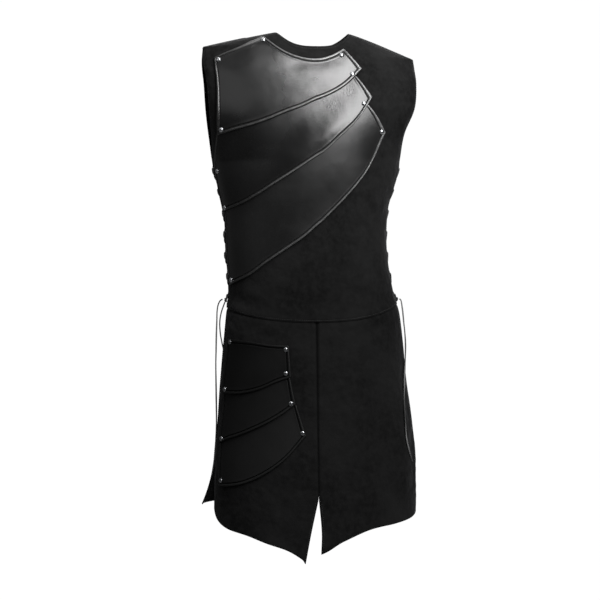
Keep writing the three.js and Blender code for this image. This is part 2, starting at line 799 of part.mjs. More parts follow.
// Each strand drops from eyelet row to row, changing panels: out of one eyelet, over that panel's
// edge, across the gap, under the other edge and out of the next eyelet there.
function strandPoints(side, start, grids) {
  const faces = ['front', 'back'];
  const sign = side === 'right' ? -1 : 1;
  const bend = EYELET.radius + 0.6;
  const gap = SIDE_EDGE_Y.back - SIDE_EDGE_Y.front;
  const place = (face, inset, down, off) => {
    const at = nearEdge(grids[face], side, inset, down);
    return new THREE.Vector3(at.x + sign * off, at.y, -down);
  };
  const points = [];
  for (let row = 0; row < EYELET.rows; row += 1) {
    const face = faces[(start + row) % 2];
    const other = faces[(start + row + 1) % 2];
    const down = eyeletDown(row);
    const slope = EYELET.pitch / (gap + 2 * EYELET.inset);
    const near = 0.3 * bend;
    points.push(place(face, EYELET.inset, down, (LACE_OVER + LACE_UNDER) / 2));
    points.push(place(face, EYELET.inset - near, down + near * slope, 0.7 * LACE_OVER));
    if (row === EYELET.rows - 1) {
      points.push(place(face, EYELET.inset - 1.4 * bend, down + 2, LACE_OVER + 0.6));
      continue;
    }
    const high = (start + row) % 2 === 0;
    const crossing = high ? LACE_CROSS.high : LACE_CROSS.low;
    const leave = place(face, 0, down + EYELET.inset * slope, LACE_OVER);
    const arrive = place(other, 0, down + (EYELET.inset + gap) * slope, LACE_UNDER);
    const middle = leave.clone().lerp(arrive, 0.5);
    middle.x = (place(face, 0, -middle.z, 0).x + place(other, 0, -middle.z, 0).x) / 2 + sign * crossing;
    points.push(place(face, EYELET.inset - bend, down + bend * slope, LACE_OVER));
    points.push(leave, middle, arrive);
    const next = eyeletDown(row + 1);
    points.push(place(other, EYELET.inset - bend, next - bend * slope, LACE_UNDER));
    points.push(place(other, EYELET.inset - near, next - near * slope, 0.75 * LACE_UNDER - 0.2));
  }
  return points;
}

function knotCentre(side, grids) {
  const sign = side === 'right' ? -1 : 1;
  const edge = nearEdge(grids.front, side, 0, KNOT.down);
  const y = (SIDE_EDGE_Y.front + SIDE_EDGE_Y.back) / 2;
  return new THREE.Vector3(edge.x + sign * KNOT.off, y, -KNOT.down);
}

// One lace: down from the bar across the top eyelets on both strands, and into the knot.
function lacing(side, grids) {
  const sign = side === 'right' ? -1 : 1;
  const first = strandPoints(side, 0, grids);
  const second = strandPoints(side, 1, grids);
  const inside = (face, inset) => {
    const at = nearEdge(grids[face], side, inset, eyeletDown(0));
    return new THREE.Vector3(at.x + sign * LACE_UNDER, at.y, at.z);
  };
  const bar = [inside('back', 6), inside('back', 0), inside('front', 0), inside('front', 6)];
  const knot = knotCentre(side, grids);
  const points = [knot, ...second.reverse(), ...bar, ...first, knot];
  const tube = laceTube(points, LACE_SIDES, points.length - 1);
  const ball = new THREE.IcosahedronGeometry(KNOT.radius, 1);
  ball.translate(knot.x, knot.y, knot.z);
  return toGeometry(toSolid(tube).add(toSolid(ball)));
}

const FREE_STEP = 9;
const FREE_SIDES = 8;

function freeEnd(end) {
  const points = end.route.map(({ x, y, down }) => new THREE.Vector3(x, y, -down));
  const curve = new THREE.CatmullRomCurve3(points, false, 'centripetal');
  const steps = Math.round(curve.getLength() / FREE_STEP);
  const even = curve.getSpacedPoints(steps);
  return named(laceTube(even, FREE_SIDES, steps), end.name, LACE_BLACK);
}

// ---- The whole vest ----

function named(geometry, name, material) {
  const mesh = new THREE.Mesh(geometry, material);
  mesh.name = name;
  return mesh;
}

function buildVest() {
  const vest = new THREE.Group();
  vest.position.z = SUEDE;
  const grids = { front: bodyGrid('front'), back: bodyGrid('back') };

  for (const face of ['front', 'back']) {
    const grid = grids[face];
    const cloth = withEyelets(panel(grid, bodyFlatten(grid)), grid);
    vest.add(named(cloth, `${face}_body`, SUEDE_BLACK));
  }

  for (const side of ['right', 'left']) {
    const grid = frontSkirtGrid(side);
    const centre = side === 'right' ? SKIRT_COLUMNS : 0;
    const flatten = (row, column) => [
      ...(row === SKIRT_ROWS ? ['z'] : []),
      ...(column === centre ? ['x'] : []),
    ];
    vest.add(named(panel(grid, flatten), `skirt_front_${side}`, SUEDE_BLACK));
  }
  const backSkirt = panel(backSkirtGrid(), (row) => (row === SKIRT_ROWS - 1 ? ['z'] : []));
  vest.add(named(backSkirt, 'skirt_back', SUEDE_BLACK));

  const plates = PLATES.map((plate) => ({ ...plate, table: spacedRibs(plate.ribs) }));
  const leather = { chest: PLATE_BLACK, hip: HIP_BLACK };
  for (const plate of plates) {
    vest.add(named(plateSolid(plate), plate.name, leather[plateArea(plate)]));
  }
  for (const rivet of RIVETS) vest.add(rivetMesh(rivet, plates));

  for (const side of ['right', 'left']) {
    vest.add(named(lacing(side, grids), `lacing_${side}`, LACE_BLACK));
  }
  for (const end of FREE_ENDS) vest.add(freeEnd(end));
  return vest;
}

const vest = buildVest();
export default vest;
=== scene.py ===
"""Renaissance vest: the looks of a long sleeveless suede jerkin with riveted leather plates."""

import math

import bpy
import numpy as np
from bpy.props import FloatProperty, FloatVectorProperty, PointerProperty
from mathutils import Matrix, Vector


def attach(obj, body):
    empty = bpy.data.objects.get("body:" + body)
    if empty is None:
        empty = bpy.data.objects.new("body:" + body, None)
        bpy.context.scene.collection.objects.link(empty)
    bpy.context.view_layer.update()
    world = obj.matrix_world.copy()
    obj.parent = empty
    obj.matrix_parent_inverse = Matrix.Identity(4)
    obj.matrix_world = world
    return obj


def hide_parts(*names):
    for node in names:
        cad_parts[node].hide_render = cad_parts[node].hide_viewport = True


bl_info = {
    "name": "Renaissance vest",
    "version": (1, 0, 0),
    "blender": (4, 5, 0),
    "location": "3D View > Sidebar > Vest",
    "description": "Suede panels, leather plates, rivets, laces and sewing of a laced jerkin",
    "category": "Object",
}

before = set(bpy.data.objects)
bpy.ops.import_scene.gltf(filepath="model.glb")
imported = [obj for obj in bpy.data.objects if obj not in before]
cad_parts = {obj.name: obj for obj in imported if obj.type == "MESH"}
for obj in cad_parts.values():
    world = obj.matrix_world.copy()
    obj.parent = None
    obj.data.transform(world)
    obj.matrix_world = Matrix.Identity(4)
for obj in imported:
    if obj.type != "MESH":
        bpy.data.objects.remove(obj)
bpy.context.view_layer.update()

MM = 0.001
RAISED = 2.0
FACES = ("front", "back")
OUTWARD = {"right": -1, "left": 1}


# ---- The garment's sizes, in millimetres; down is below the top of the shoulder seams ----

def rows(names, *values):
    """A short table: a dictionary for each row, with named columns; what is left out is 0."""
    keys = names.split()
    return [dict.fromkeys(keys, 0) | dict(zip(keys, row)) for row in values]


SHOULDER_LAP = 0.6
NECK_HALF_WIDTH = 74
NECK_DROP = {"front": 31, "back": 24}
NECK_ROUND = 3
SHOULDER = {"right": {"drop": 30, "reach": 214}, "left": {"drop": 50, "reach": 206}}
SHOULDER_SLOPE = 1.15
SHOULDER_SEAM_Y = 5
UNDERARM = 254
SIDE_EDGE_Y = {"front": 1, "back": 15}

# How square the body's cross section is: 2 and 2 would be a plain ellipse.
SQUARE_ACROSS = 2.3
SQUARE_DEEP = 2.2

# Cross sections: half widths to the wearer's right and left, depths to the front and the back.
SECTIONS = rows(
    "down right left front back",
    (0, 214, 206, 45, 36), (30, 215, 206, 60, 48), (60, 216, 206, 76, 62),
    (100, 211, 206, 94, 80), (150, 207, 200, 108, 95), (200, 202, 181, 116, 103),
    (272, 193, 175, 118, 104), (350, 174, 154, 114, 96), (430, 170, 152, 110, 90),
    (510, 164, 165, 108, 99), (560, 169, 179, 110, 106), (690, 181, 193, 117, 120),
    (770, 186, 204, 122, 127), (850, 193, 211, 127, 132), (1040, 197, 213, 137, 141),
)
ARMHOLE = rows(
    "share front back",
    (0, 5, 5), (0.12, -12, 18), (0.25, -30, 30), (0.5, -44, 41), (0.7, -36, 35),
    (0.88, -16, 22), (1, 1, 15),
)
WAIST = {
    "front": {"right": 547, "left": 536, "centre": 568},
    "back": {"right": 545, "left": 539, "centre": 548},
}
WAIST_ROUND = 2.5
HEM = {
    "right": rows(
        "turn down", (6.3, 1036), (8.5, 1027), (17, 1010), (30, 997),
        (44, 984), (65, 974), (81, 960), (90, 946),
    ),
    "left": rows(
        "turn down", (0.3, 1018), (2.8, 1012), (9.5, 995), (25, 974),
        (44, 967), (65, 961), (90, 950),
    ),
}
CENTRE_FRONT = {
    "right": rows("down x corner", (560, -5), (912, -2.8, 1), (975, -17), (1036, -29)),
    "left": rows("down x corner", (560, -4.7), (912, -2.5, 1), (975, 2.6), (1018, 1.4)),
}
BACK_HEM = 946
BACK_SKIRT_EDGE = rows("down y", (545, 15), (700, 16), (850, 30), (946, 58))
BACK_KICK = {"from": 840, "right": 20, "left": 2}

# Each plate's ribs, from the wearer's right to left: where each starts on top and ends at the
# foot, and how far its middle bows to the left, in turn.
RIB = "top_turn top_down foot_turn foot_down bow corner"
PLATES = {
    "chest_plate_upper": rows(
        RIB,
        (-63, 55, -68, 206), (-50, 44, -50, 197), (-38, 31, -35, 188),
        (-24.5, 13, -24, 177, 0, 1), (-16, 37, -14, 163), (-9, 51, -7, 153),
        (-1, 58, 1, 136), (5.5, 52, 11, 114), (12.5, 38, 22, 79),
    ),
    "chest_plate_middle": rows(
        RIB,
        (-67.5, 190, -81, 354, -5.5), (-48, 181, -54, 340, -2), (-33, 171, -38, 323),
        (-21, 157, -26, 304), (-10, 141, -12, 277), (-1, 122, -1, 248),
        (7, 105, 9, 214), (12.5, 93, 19, 181), (16, 84, 28, 133),
    ),
    "chest_plate_lower": rows(
        RIB,
        (-80, 338, -80, 500), (-53, 324, -50, 479), (-37, 307, -33, 453),
        (-25, 288, -20, 430), (-12, 261, -7, 402), (-2, 232, 4, 364),
        (8, 198, 17, 323), (17, 165, 29, 277), (23, 140, 44, 199),
    ),
    "hip_plate_upper": rows(
        RIB,
        (-75, 604, -74, 711), (-60, 605, -62, 711), (-45, 606.5, -49, 708.5),
        (-32, 610.5, -35, 699), (-24.5, 612, -24, 685), (-16.4, 613, -14.5, 675),
    ),
    "hip_plate_middle": rows(
        RIB,
        (-74, 696, -73.5, 811), (-62, 696, -62, 800), (-49, 693, -48, 788),
        (-36, 683, -33, 769.5), (-24.5, 669, -21.5, 750), (-16.2, 660, -11.7, 727),
    ),
    "hip_plate_lower": rows(
        RIB,
        (-73.5, 796, -74, 894), (-62, 786, -61, 892), (-48, 774, -46, 884),
        (-33, 755.5, -31, 865), (-21, 737, -17.5, 834), (-12.4, 717, -5.9, 787.5),
    ),
}
LAST_PLATES = ("chest_plate_lower", "hip_plate_lower")
PLATE_LIFT = {"chest": 0.9, "hip": 0.5}
LAP = {"gap": 1.1, "band": 20, "ramp": 75}

# Each plate's rivets: the place in its name, turn and down.
RIVETS = {
    "chest_plate_upper": (
        ("neck", -24.8, 21), ("shoulder", -58.5, 60), ("breast", 11.1, 52), ("tip", 16, 90),
        ("armhole", -62.5, 195),
    ),
    "chest_plate_middle": (("tip", 22.6, 147), ("underarm", -75, 274), ("side", -74.8, 345)),
    "chest_plate_lower": (("tip", 40, 199), ("side", -75, 488)),
    "hip_plate_upper": (
        ("side_top", -69.6, 610), ("front_top", -18.4, 621), ("front_foot", -18, 667),
        ("side_foot", -69.5, 703),
    ),
    "hip_plate_middle": (("front", -14.6, 725), ("side", -69.9, 800)),
    "hip_plate_lower": (("front", -8, 782.5), ("side", -69.6, 882)),
}
RIVET_GAP = 0.1

EYELET = {"radius": 2.6, "inset": 9, "rows": 7, "first_down": 266, "pitch": 42}
BINDING = {"radius": 0.75, "flat": 0.6, "lift": 0.5}
LACE_OVER = 2.2
LACE_UNDER = -4.4
LACE_CROSS = {"high": 1.5, "low": -2.7}
KNOT = {"down": 529, "off": 4.5}

# The laces' free ends: length in metres, how far each turns on itself and from what turn, and the
# route from the knot to the cut end as x, y and down.
FREE_ENDS = {
    "lace_end_right_outer": (0.355, 1.5, 1.2, (
        (-176.8, 8, 528), (-181, 8, 530), (-185.4, 8, 538), (-187.8, 8, 552), (-188.4, 8, 572),
        (-189.4, 8, 600), (-190, 8, 630), (-190.6, 8, 660), (-190, 8, 715), (-189.6, 8, 770),
        (-191, 8, 810), (-193.4, 8, 845), (-199, 8, 880),
    )),
    "lace_end_right_inner": (0.31, 0.3, 1.1, (
        (-172.4, 7, 533.9), (-175.5, 7, 542), (-180, 7, 556), (-182.6, 7, 574), (-181.5, 7, 596),
        (-178, 7, 616), (-173, 7.5, 640), (-170, 8, 670), (-169.5, 8, 720), (-171, 8, 780),
        (-172, 8, 840),
    )),
    "lace_end_left_outer": (0.34, 2.5, 1.0, (
        (181.6, 6, 529), (184, 4, 532), (185, 1, 540), (186.5, -3, 556), (187.5, -8, 576),
        (188.5, -14, 596), (188, -24, 620), (184, -42, 650), (180, -56, 690), (178, -66, 730),
        (178.5, -72, 770), (180.5, -74, 800), (187, -68, 826), (196, -58, 850),
    )),
}


# ---- Reading the tables ----

def read(table, by, want, at):
    """A smooth value between a table's rows; a row marked corner keeps its corner."""
    last = len(table) - 1
    if at <= table[0][by]:
        return table[0][want]
    if at >= table[last][by]:
        return table[last][want]
    row = 0
    while at > table[row + 1][by]:
        row += 1
    span = table[row + 1][by] - table[row][by]

    def slope(index):
        corner = table[index].get("corner")
        start = row if corner else max(index - 1, 0)
        end = row + 1 if corner else min(index + 1, last)
        return (table[end][want] - table[start][want]) / (table[end][by] - table[start][by])

    share = (at - table[row][by]) / span
    square = share * share
    cube = square * share
    return (
        (2 * cube - 3 * square + 1) * table[row][want]
        + (cube - 2 * square + share) * slope(row) * span
        + (3 * square - 2 * cube) * table[row + 1][want]
        + (cube - square) * slope(row + 1) * span
    )


def side_of(x):
    return "right" if x < 0 else "left"


def mix(a, b, share):
    return a + (b - a) * share


def smooth(low, high, value):
    """0 below low, 1 above high and a soft step between."""
    share = min(1.0, max(0.0, (value - low) / (high - low)))
    return share * share * (3 - 2 * share)


# ---- The body's form ----

def outer_width(face, side, down):
    width = read(SECTIONS, "down", side, max(down, SHOULDER[side]["drop"]))
    if face == "front" or down < BACK_KICK["from"]:
        return width
    share = min(1, (down - BACK_KICK["from"]) / (BACK_HEM - BACK_KICK["from"]))
    return width + BACK_KICK[side] * share * share


def ridge_width(side, down):
    shoulder = SHOULDER[side]
    share = max(down, 0) / shoulder["drop"]
    return NECK_HALF_WIDTH + (shoulder["reach"] - NECK_HALF_WIDTH) * share ** (1 / SHOULDER_SLOPE)


def edge_y(face, side, down):
    drop = SHOULDER[side]["drop"]
    if down <= drop:
        return SHOULDER_SEAM_Y + (0.5 if face == "front" else -0.5) * SHOULDER_LAP
    if down < UNDERARM:
        return read(ARMHOLE, "share", face, (down - drop) / (UNDERARM - drop))
    if face == "back":
        return read(BACK_SKIRT_EDGE, "down", "y", down)
    return SIDE_EDGE_Y["front"]


def across_share(turn):
    return math.sin(math.radians(abs(turn))) ** (2 / SQUARE_ACROSS)


def turn_at(share):
    """The turn in degrees at a signed share of the way out to the side."""
    turn = math.degrees(math.asin(min(1, abs(share)) ** (SQUARE_ACROSS / 2)))
    return math.copysign(turn, share)


def body_point(face, x, down):
    side = side_of(x)
    drop = SHOULDER[side]["drop"]
    width = ridge_width(side, down) if down < drop else outer_width(face, side, down)
    share = min(1.0, abs(x) / width)
    depth = read(SECTIONS, "down", face, down) * (-1 if face == "front" else 1)
    edge = edge_y(face, side, down)
    y = edge + (depth - edge) * (1 - share ** SQUARE_ACROSS) ** (1 / SQUARE_DEEP)
    return np.array((x, y, -down))


def turn_point(face, turn, down):
    x = math.copysign(across_share(turn), turn) * outer_width(face, side_of(turn), down)
    return body_point(face, x, down)


def turn_of(x, down):
    return turn_at(x / outer_width("front", side_of(x), down))


def top_down(face, x):
    shoulder = SHOULDER[side_of(x)]
    out = abs(x)
    if out < NECK_HALF_WIDTH:
        return NECK_DROP[face] * (1 - (out / NECK_HALF_WIDTH) ** NECK_ROUND)
    along = (out - NECK_HALF_WIDTH) / (shoulder["reach"] - NECK_HALF_WIDTH)
    return shoulder["drop"] * along ** SHOULDER_SLOPE


def waist_down(face, share, side):
    return mix(WAIST[face]["centre"], WAIST[face][side], abs(share) ** WAIST_ROUND)


def grid_normals(grid):
    """Outward normals of a grid of points whose rows run upwards and columns left to right."""
    up = np.gradient(grid, axis=0)
    along = np.gradient(grid, axis=1)
    normals = np.cross(along, up)
    return normals / np.linalg.norm(normals, axis=2, keepdims=True)


def unit(vector):
    return vector / np.linalg.norm(vector)


def each(work, values):
    """Works out a plain function for every number of a grid."""
    return np.array([[work(value) for value in line] for line in values])


def parted(spots, count):
    """Splits a grid of spots, each some values together, into a grid for each value."""
    return [np.array([[spot[part] for spot in line] for line in spots]) for part in range(count)]


def run_along(line):
    """Distance along a line of points from its start."""
    return np.concatenate([[0], np.cumsum(np.linalg.norm(np.diff(line, axis=0), axis=1))])


def point_at(run, distance, line):
    return np.array([np.interp(distance, run, line[:, axis]) for axis in range(3)])


# ---- Meshes ----

def deselect():
    if bpy.context.object and bpy.context.object.mode != "OBJECT":
        bpy.ops.object.mode_set(mode="OBJECT")
    bpy.ops.object.select_all(action="DESELECT")


def activate(piece):
    deselect()
    piece.select_set(True)
    bpy.context.view_layer.objects.active = piece


def edit_all():
    """Opens the active piece in edit mode with all of it selected."""
    bpy.ops.object.mode_set(mode="EDIT")
    bpy.ops.mesh.select_all(action="SELECT")


def leave_edit():
    bpy.ops.object.mode_set(mode="OBJECT")


def settle(piece):
    """Puts a piece's place into its mesh."""
    activate(piece)
    bpy.ops.object.transform_apply(location=True, rotation=True, scale=True)


def join(pieces):
    """Joins pieces into one, and gives it back as the active piece."""
    deselect()
    for piece in pieces:
        piece.select_set(True)
    bpy.context.view_layer.objects.active = pieces[0]
    bpy.ops.object.join()
    return bpy.context.object


def to_world(points):
    """Millimetres with z measured down from the shoulder, to metres."""
    placed = np.array(points, float) * MM
    placed[..., 2] += RAISED * MM
    return placed


def stood_copy(model, at, normal):
    """A copy of a model with its own mesh, standing on a surface."""
    copy = model.copy()
    copy.data = model.data.copy()
    bpy.context.scene.collection.objects.link(copy)
    turn = Vector(normal).to_track_quat("Z", "Y").to_matrix().to_4x4()
    copy.matrix_world = Matrix.Translation(to_world(at)) @ turn
    return copy


def mesh_piece(name, points, faces):
    """A piece from points in millimetres and the faces between them."""
    mesh = bpy.data.meshes.new(name)
    mesh.from_pydata([tuple(point) for point in to_world(np.array(points))], [], faces)
    piece = bpy.data.objects.new(name, mesh)
    bpy.context.scene.collection.objects.link(piece)
    return piece


def face_outwards(piece):
    activate(piece)
    edit_all()
    bpy.ops.mesh.normals_make_consistent(inside=False)
    leave_edit()


def lay_grid(name, grid, flat):
    """A grid primitive laid over a grid of points, with its flat place in metres as UV map."""
    count_rows, count_columns = grid.shape[:2]
    deselect()
    bpy.ops.mesh.primitive_grid_add(
        x_subdivisions=count_columns - 1, y_subdivisions=count_rows - 1, size=2, calc_uvs=True,
    )
    piece = bpy.context.object
    piece.name = name
    mesh = piece.data
    mesh.name = name
    plain = np.zeros(len(mesh.vertices) * 3)
    mesh.vertices.foreach_get("co", plain)
    plain = plain.reshape(-1, 3)
    column = np.rint((plain[:, 0] + 1) / 2 * (count_columns - 1)).astype(int)
    row = np.rint((plain[:, 1] + 1) / 2 * (count_rows - 1)).astype(int)
    mesh.vertices.foreach_set("co", to_world(grid)[row, column].ravel())
    loops = np.zeros(len(mesh.loops), int)
    mesh.loops.foreach_get("vertex_index", loops)
    mesh.uv_layers.active.data.foreach_set("uv", flat[row, column][loops].ravel())
    mesh.update()
    return piece, row, column


def add_values(piece, name, values):
    layer = piece.data.attributes.new(name, "FLOAT", "POINT")
    layer.data.foreach_set("value", np.asarray(values, np.float32))


def apply_modifiers(piece):
    activate(piece)
    for modifier in list(piece.modifiers):
        bpy.ops.object.modifier_apply(modifier=modifier.name)


def thicken(piece, thickness, rim, depths=None):
    """Gives a laid grid its wall, inwards and as deep as told, and rounds the rim of the cut."""
    wall = piece.modifiers.new("wall", "SOLIDIFY")
    if depths is not None:
        group = piece.vertex_groups.new(name="depth")
        for index, depth in enumerate(depths):
            group.add([index], float(depth) / thickness, "REPLACE")
        wall.vertex_group = group.name
    wall.thickness = thickness * MM
    wall.offset = -1
    wall.use_even_offset = True
    wall.use_quality_normals = True
    round_rim = piece.modifiers.new("rim", "BEVEL")
    round_rim.width = rim * MM
    round_rim.segments = 2
    round_rim.limit_method = "ANGLE"
    round_rim.angle_limit = math.radians(50)
    round_rim.use_clamp_overlap = True
    apply_modifiers(piece)
    bpy.ops.object.shade_smooth_by_angle(angle=math.radians(40))


def arc_lengths(grid, axis):
    """Distance along a grid from its first line, in the grid's own unit."""
    steps = np.linalg.norm(np.diff(grid, axis=axis), axis=2)
    start = np.zeros_like(np.take(steps, [0], axis=axis))
    return np.concatenate([start, np.cumsum(steps, axis=axis)], axis=axis)


# ---- Materials ----

class Nodes:
    """Short words for adding and joining nodes in one tree."""

    def __init__(self, tree):
        self.tree = tree

    def put(self, socket, value):
        if isinstance(value, bpy.types.NodeSocket):
            self.tree.links.new(value, socket)
        else:
            socket.default_value = value

    def fill(self, node, values):
        for name, value in values.items():
            self.put(node.inputs[name], value)

    def add(self, kind, values=None, **settings):
        node = self.tree.nodes.new(kind)
        for name, value in settings.items():
            setattr(node, name, value)
        self.fill(node, values or {})
        return node

    def math(self, operation, first, second, clamp=False):
        return self.add(
            "ShaderNodeMath", {0: first, 1: second}, operation=operation, use_clamp=clamp,
        ).outputs[0]

    def times(self, first, second):
        return self.math("MULTIPLY", first, second)

    def plus(self, first, second):
        return self.math("ADD", first, second)

    def ramp(self, value, low, high, start=0.0, end=1.0):
        ends = {"From Min": low, "From Max": high, "To Min": start, "To Max": end}
        return self.add(
            "ShaderNodeMapRange", {"Value": value, **ends}, interpolation_type="SMOOTHSTEP",
        ).outputs["Result"]

    def band(self, value, rise, full, fall, end):
        """1 between two limits, with a soft step at each."""
        return self.times(self.ramp(value, rise, full), self.ramp(value, fall, end, 1.0, 0.0))

    def noise(self, place, scale, detail=3.0, rough=0.55):
        values = {"Vector": place, "Scale": scale, "Detail": detail, "Roughness": rough}
        return self.add("ShaderNodeTexNoise", values).outputs["Fac"]

    def mapped(self, place, turn, scale):
        values = {"Vector": place, "Rotation": turn, "Scale": scale}
        return self.add("ShaderNodeMapping", values).outputs["Vector"]

    def blend(self, share, first, second):
        values = {"Factor": share, 6: first, 7: second}
        return self.add("ShaderNodeMix", values, data_type="RGBA").outputs[2]

    def place(self):
        return self.add("ShaderNodeTexCoord").outputs["Object"]

    def part(self, vector, axis):
        return self.add("ShaderNodeSeparateXYZ", {"Vector": vector}).outputs[axis]

    def attribute(self, name):
        return self.add("ShaderNodeAttribute", attribute_name=name).outputs["Fac"]

    def bump(self, height, strength, distance, under=None):
        values = {"Height": height, "Strength": strength, "Distance": distance}
        if under:
            values["Normal"] = under
        return self.add("ShaderNodeBump", values).outputs["Normal"]

    def painted_height_shade(self, base, place, low, high, at_low, at_high):
        """Painted shade and light: darker or lighter slowly with height, between two heights."""
        strength = self.ramp(self.part(place, "Z"), low, high, at_low, at_high)
        values = {"Color": base, "Value": strength}
        return self.add("ShaderNodeHueSaturation", values).outputs["Color"]

    def mixed(self, share, first, second):
        """Mixes two shaders."""
        values = {0: share, 1: first.outputs[0], 2: second.outputs[0]}
        return self.add("ShaderNodeMixShader", values).outputs[0]

    def effect(self, name, place, *values):
        """Places a shared group, built on first use, with its values, and gives its outputs."""
        work, inputs = EFFECTS[name]
        group = bpy.data.node_groups.get(name) or effect_group(name, work, inputs)
        node = self.add("ShaderNodeGroup", {"Vector": place}, node_tree=group)
        self.fill(node, dict(zip(inputs, values)))
        return node.outputs


def effect_group(name, work, inputs):
    """A node group with a place and named values in, and what work makes of them out."""
    group = bpy.data.node_groups.new(name, "ShaderNodeTree")

    def socket(label, way, kind="NodeSocketFloat"):
        return group.interface.new_socket(name=label, in_out=way, socket_type=kind)

    socket("Vector", "INPUT", "NodeSocketVector")
    for label, value in inputs.items():
        socket(label, "INPUT").default_value = value
    n = Nodes(group)
    inside = n.add("NodeGroupInput").outputs
    results = work(n, inside["Vector"], *(inside[label] for label in inputs))
    for label in results:
        socket(label, "OUTPUT")
    n.add("NodeGroupOutput", results)
    return group


def nap(n, place, fibres, patches):
    """Suede nap: brushed patches, fibre and cloudy wear."""
    brushed = n.mapped(place, (0.0, 0.0, 0.0), (1.0, 1.0, 0.8))
    fibre = n.noise(place, fibres, 4.0, 0.7)
    tuft = n.noise(place, n.times(fibres, 0.22), 3.0, 0.6)
    return {
        "Patches": n.ramp(n.noise(brushed, patches, 4.0, 0.6), 0.32, 0.68),
        "Mottle": n.ramp(n.noise(brushed, n.times(patches, 12.0), 3.0, 0.65), 0.3, 0.7),
        "Height": n.plus(n.times(fibre, 0.6), n.times(tuft, 0.8)),
        "Dimples": n.noise(place, n.times(patches, 3.4), 2.5, 0.45),
    }


def grain(n, place, pebbles, marks, scuffed):
    """Smooth leather: pores and fine pebbles, soft waves, rubbed marks and scuffs."""
    cells = n.add(
        "ShaderNodeTexVoronoi", {"Vector": place, "Scale": pebbles}, feature="DISTANCE_TO_EDGE",
    )
    furrow = n.ramp(cells.outputs["Distance"], 0.0, 0.16)
    fine = n.noise(place, n.times(pebbles, 0.6), 4.0, 0.6)
    streaked = n.mapped(place, (0.3, 0.9, 0.2), (1.0, 1.0, 0.16))
    streaks = n.noise(streaked, n.times(marks, 3.0), 5.0, 0.7)
    where = n.noise(place, n.times(marks, 0.3), 2.0, 0.5)
    upright = n.mapped(place, (0.0, -0.3, 0.0), (1.0, 1.0, 0.22))
    scratches = n.noise(upright, 330.0, 3.0, 0.6)
    return {
        "Height": n.plus(n.times(furrow, 0.5), n.times(fine, 0.7)),
        "Marks": n.times(n.ramp(streaks, 0.62, 0.78), n.ramp(where, 0.5, 0.62)),
        "Clouds": n.noise(place, 11.0, 3.0, 0.5),
        "Waves": n.noise(place, 17.0, 2.0, 0.4),
        "Scuffs": n.times(n.ramp(scratches, 0.52, 0.6), scuffed),
    }


def edge_wear(n, place, edge, reach):
    """How rubbed a place is: more near a cut edge, in uneven patches."""
    uneven = n.ramp(n.noise(place, 130.0, 4.0, 0.6), 0.25, 0.75, 0.35, 1.6)
    share = n.math("DIVIDE", edge, n.times(reach, uneven))
    return {"Wear": n.ramp(share, 0.0, 1.0, 1.0, 0.0)}


EFFECTS = {
    "suede_nap": (nap, {"Fibres per metre": 1400.0, "Patches per metre": 14.0}),
    "leather_grain": (
        grain, {"Pebbles per metre": 900.0, "Marks per metre": 60.0, "Scuffed": 0.0},
    ),
    "edge_wear": (edge_wear, {"Edge distance": 20.0, "Reach": 2.0}),
}


def grown(colour, factor):
    return tuple(min(1.0, part * factor) for part in colour[:3]) + (1.0,)


def paint_suede(n, shader, colour):
    """Black split suede: cloudy, dry nap, worn at cut edges, with painted shade in the seams and
    darker towards the bottom as painted shade.
    """
    place = n.place()
    cloth = n.effect("suede_nap", place, 1500.0, 9.0)
    wear = n.effect("edge_wear", place, n.attribute("edge"), 2.5)["Wear"]
    base = n.blend(cloth["Patches"], grown(colour, 0.15), grown(colour, 2.0))
    base = n.blend(n.times(cloth["Mottle"], 0.5), base, grown(colour, 2.2))
    base = n.blend(n.times(wear, 0.35), base, grown(colour, 2.2))
    # Painted shade: the suede is darker towards the bottom of the skirts.
    base = n.painted_height_shade(base, place, -0.6, -0.28, 0.58, 1.0)
    # Painted shade darkens the suede in the front skirts' centre seam.
    seam = n.math("MULTIPLY", n.attribute("seam"), 1.3, clamp=True)
    n.fill(shader, {
        "Base Color": n.blend(seam, base, grown(colour, 0.02)),
        "Roughness": n.ramp(cloth["Patches"], 0.0, 1.0, 0.86, 0.96),
        "Specular IOR Level": 0.12,
        "Sheen Weight": 0.05,
        "Sheen Roughness": 0.45,
        "Sheen Tint": (0.75, 0.75, 0.78, 1.0),
        "Normal": n.bump(cloth["Height"], 0.5, 0.0005, n.bump(cloth["Dimples"], 0.45, 0.014)),
    })


# Where the bead and the groove beside it lie, in millimetres in from a plate's cut edge.
BEAD = (0.9, 1.5, 4.8, 5.4)
GROOVE = (5.2, 5.7, 7.3, 7.9)
# Painted shadow: the band at the cut edge painted dark, as the shade beneath a plate's edge.
CUT_EDGE_SHADE = (0.5, 1.2)


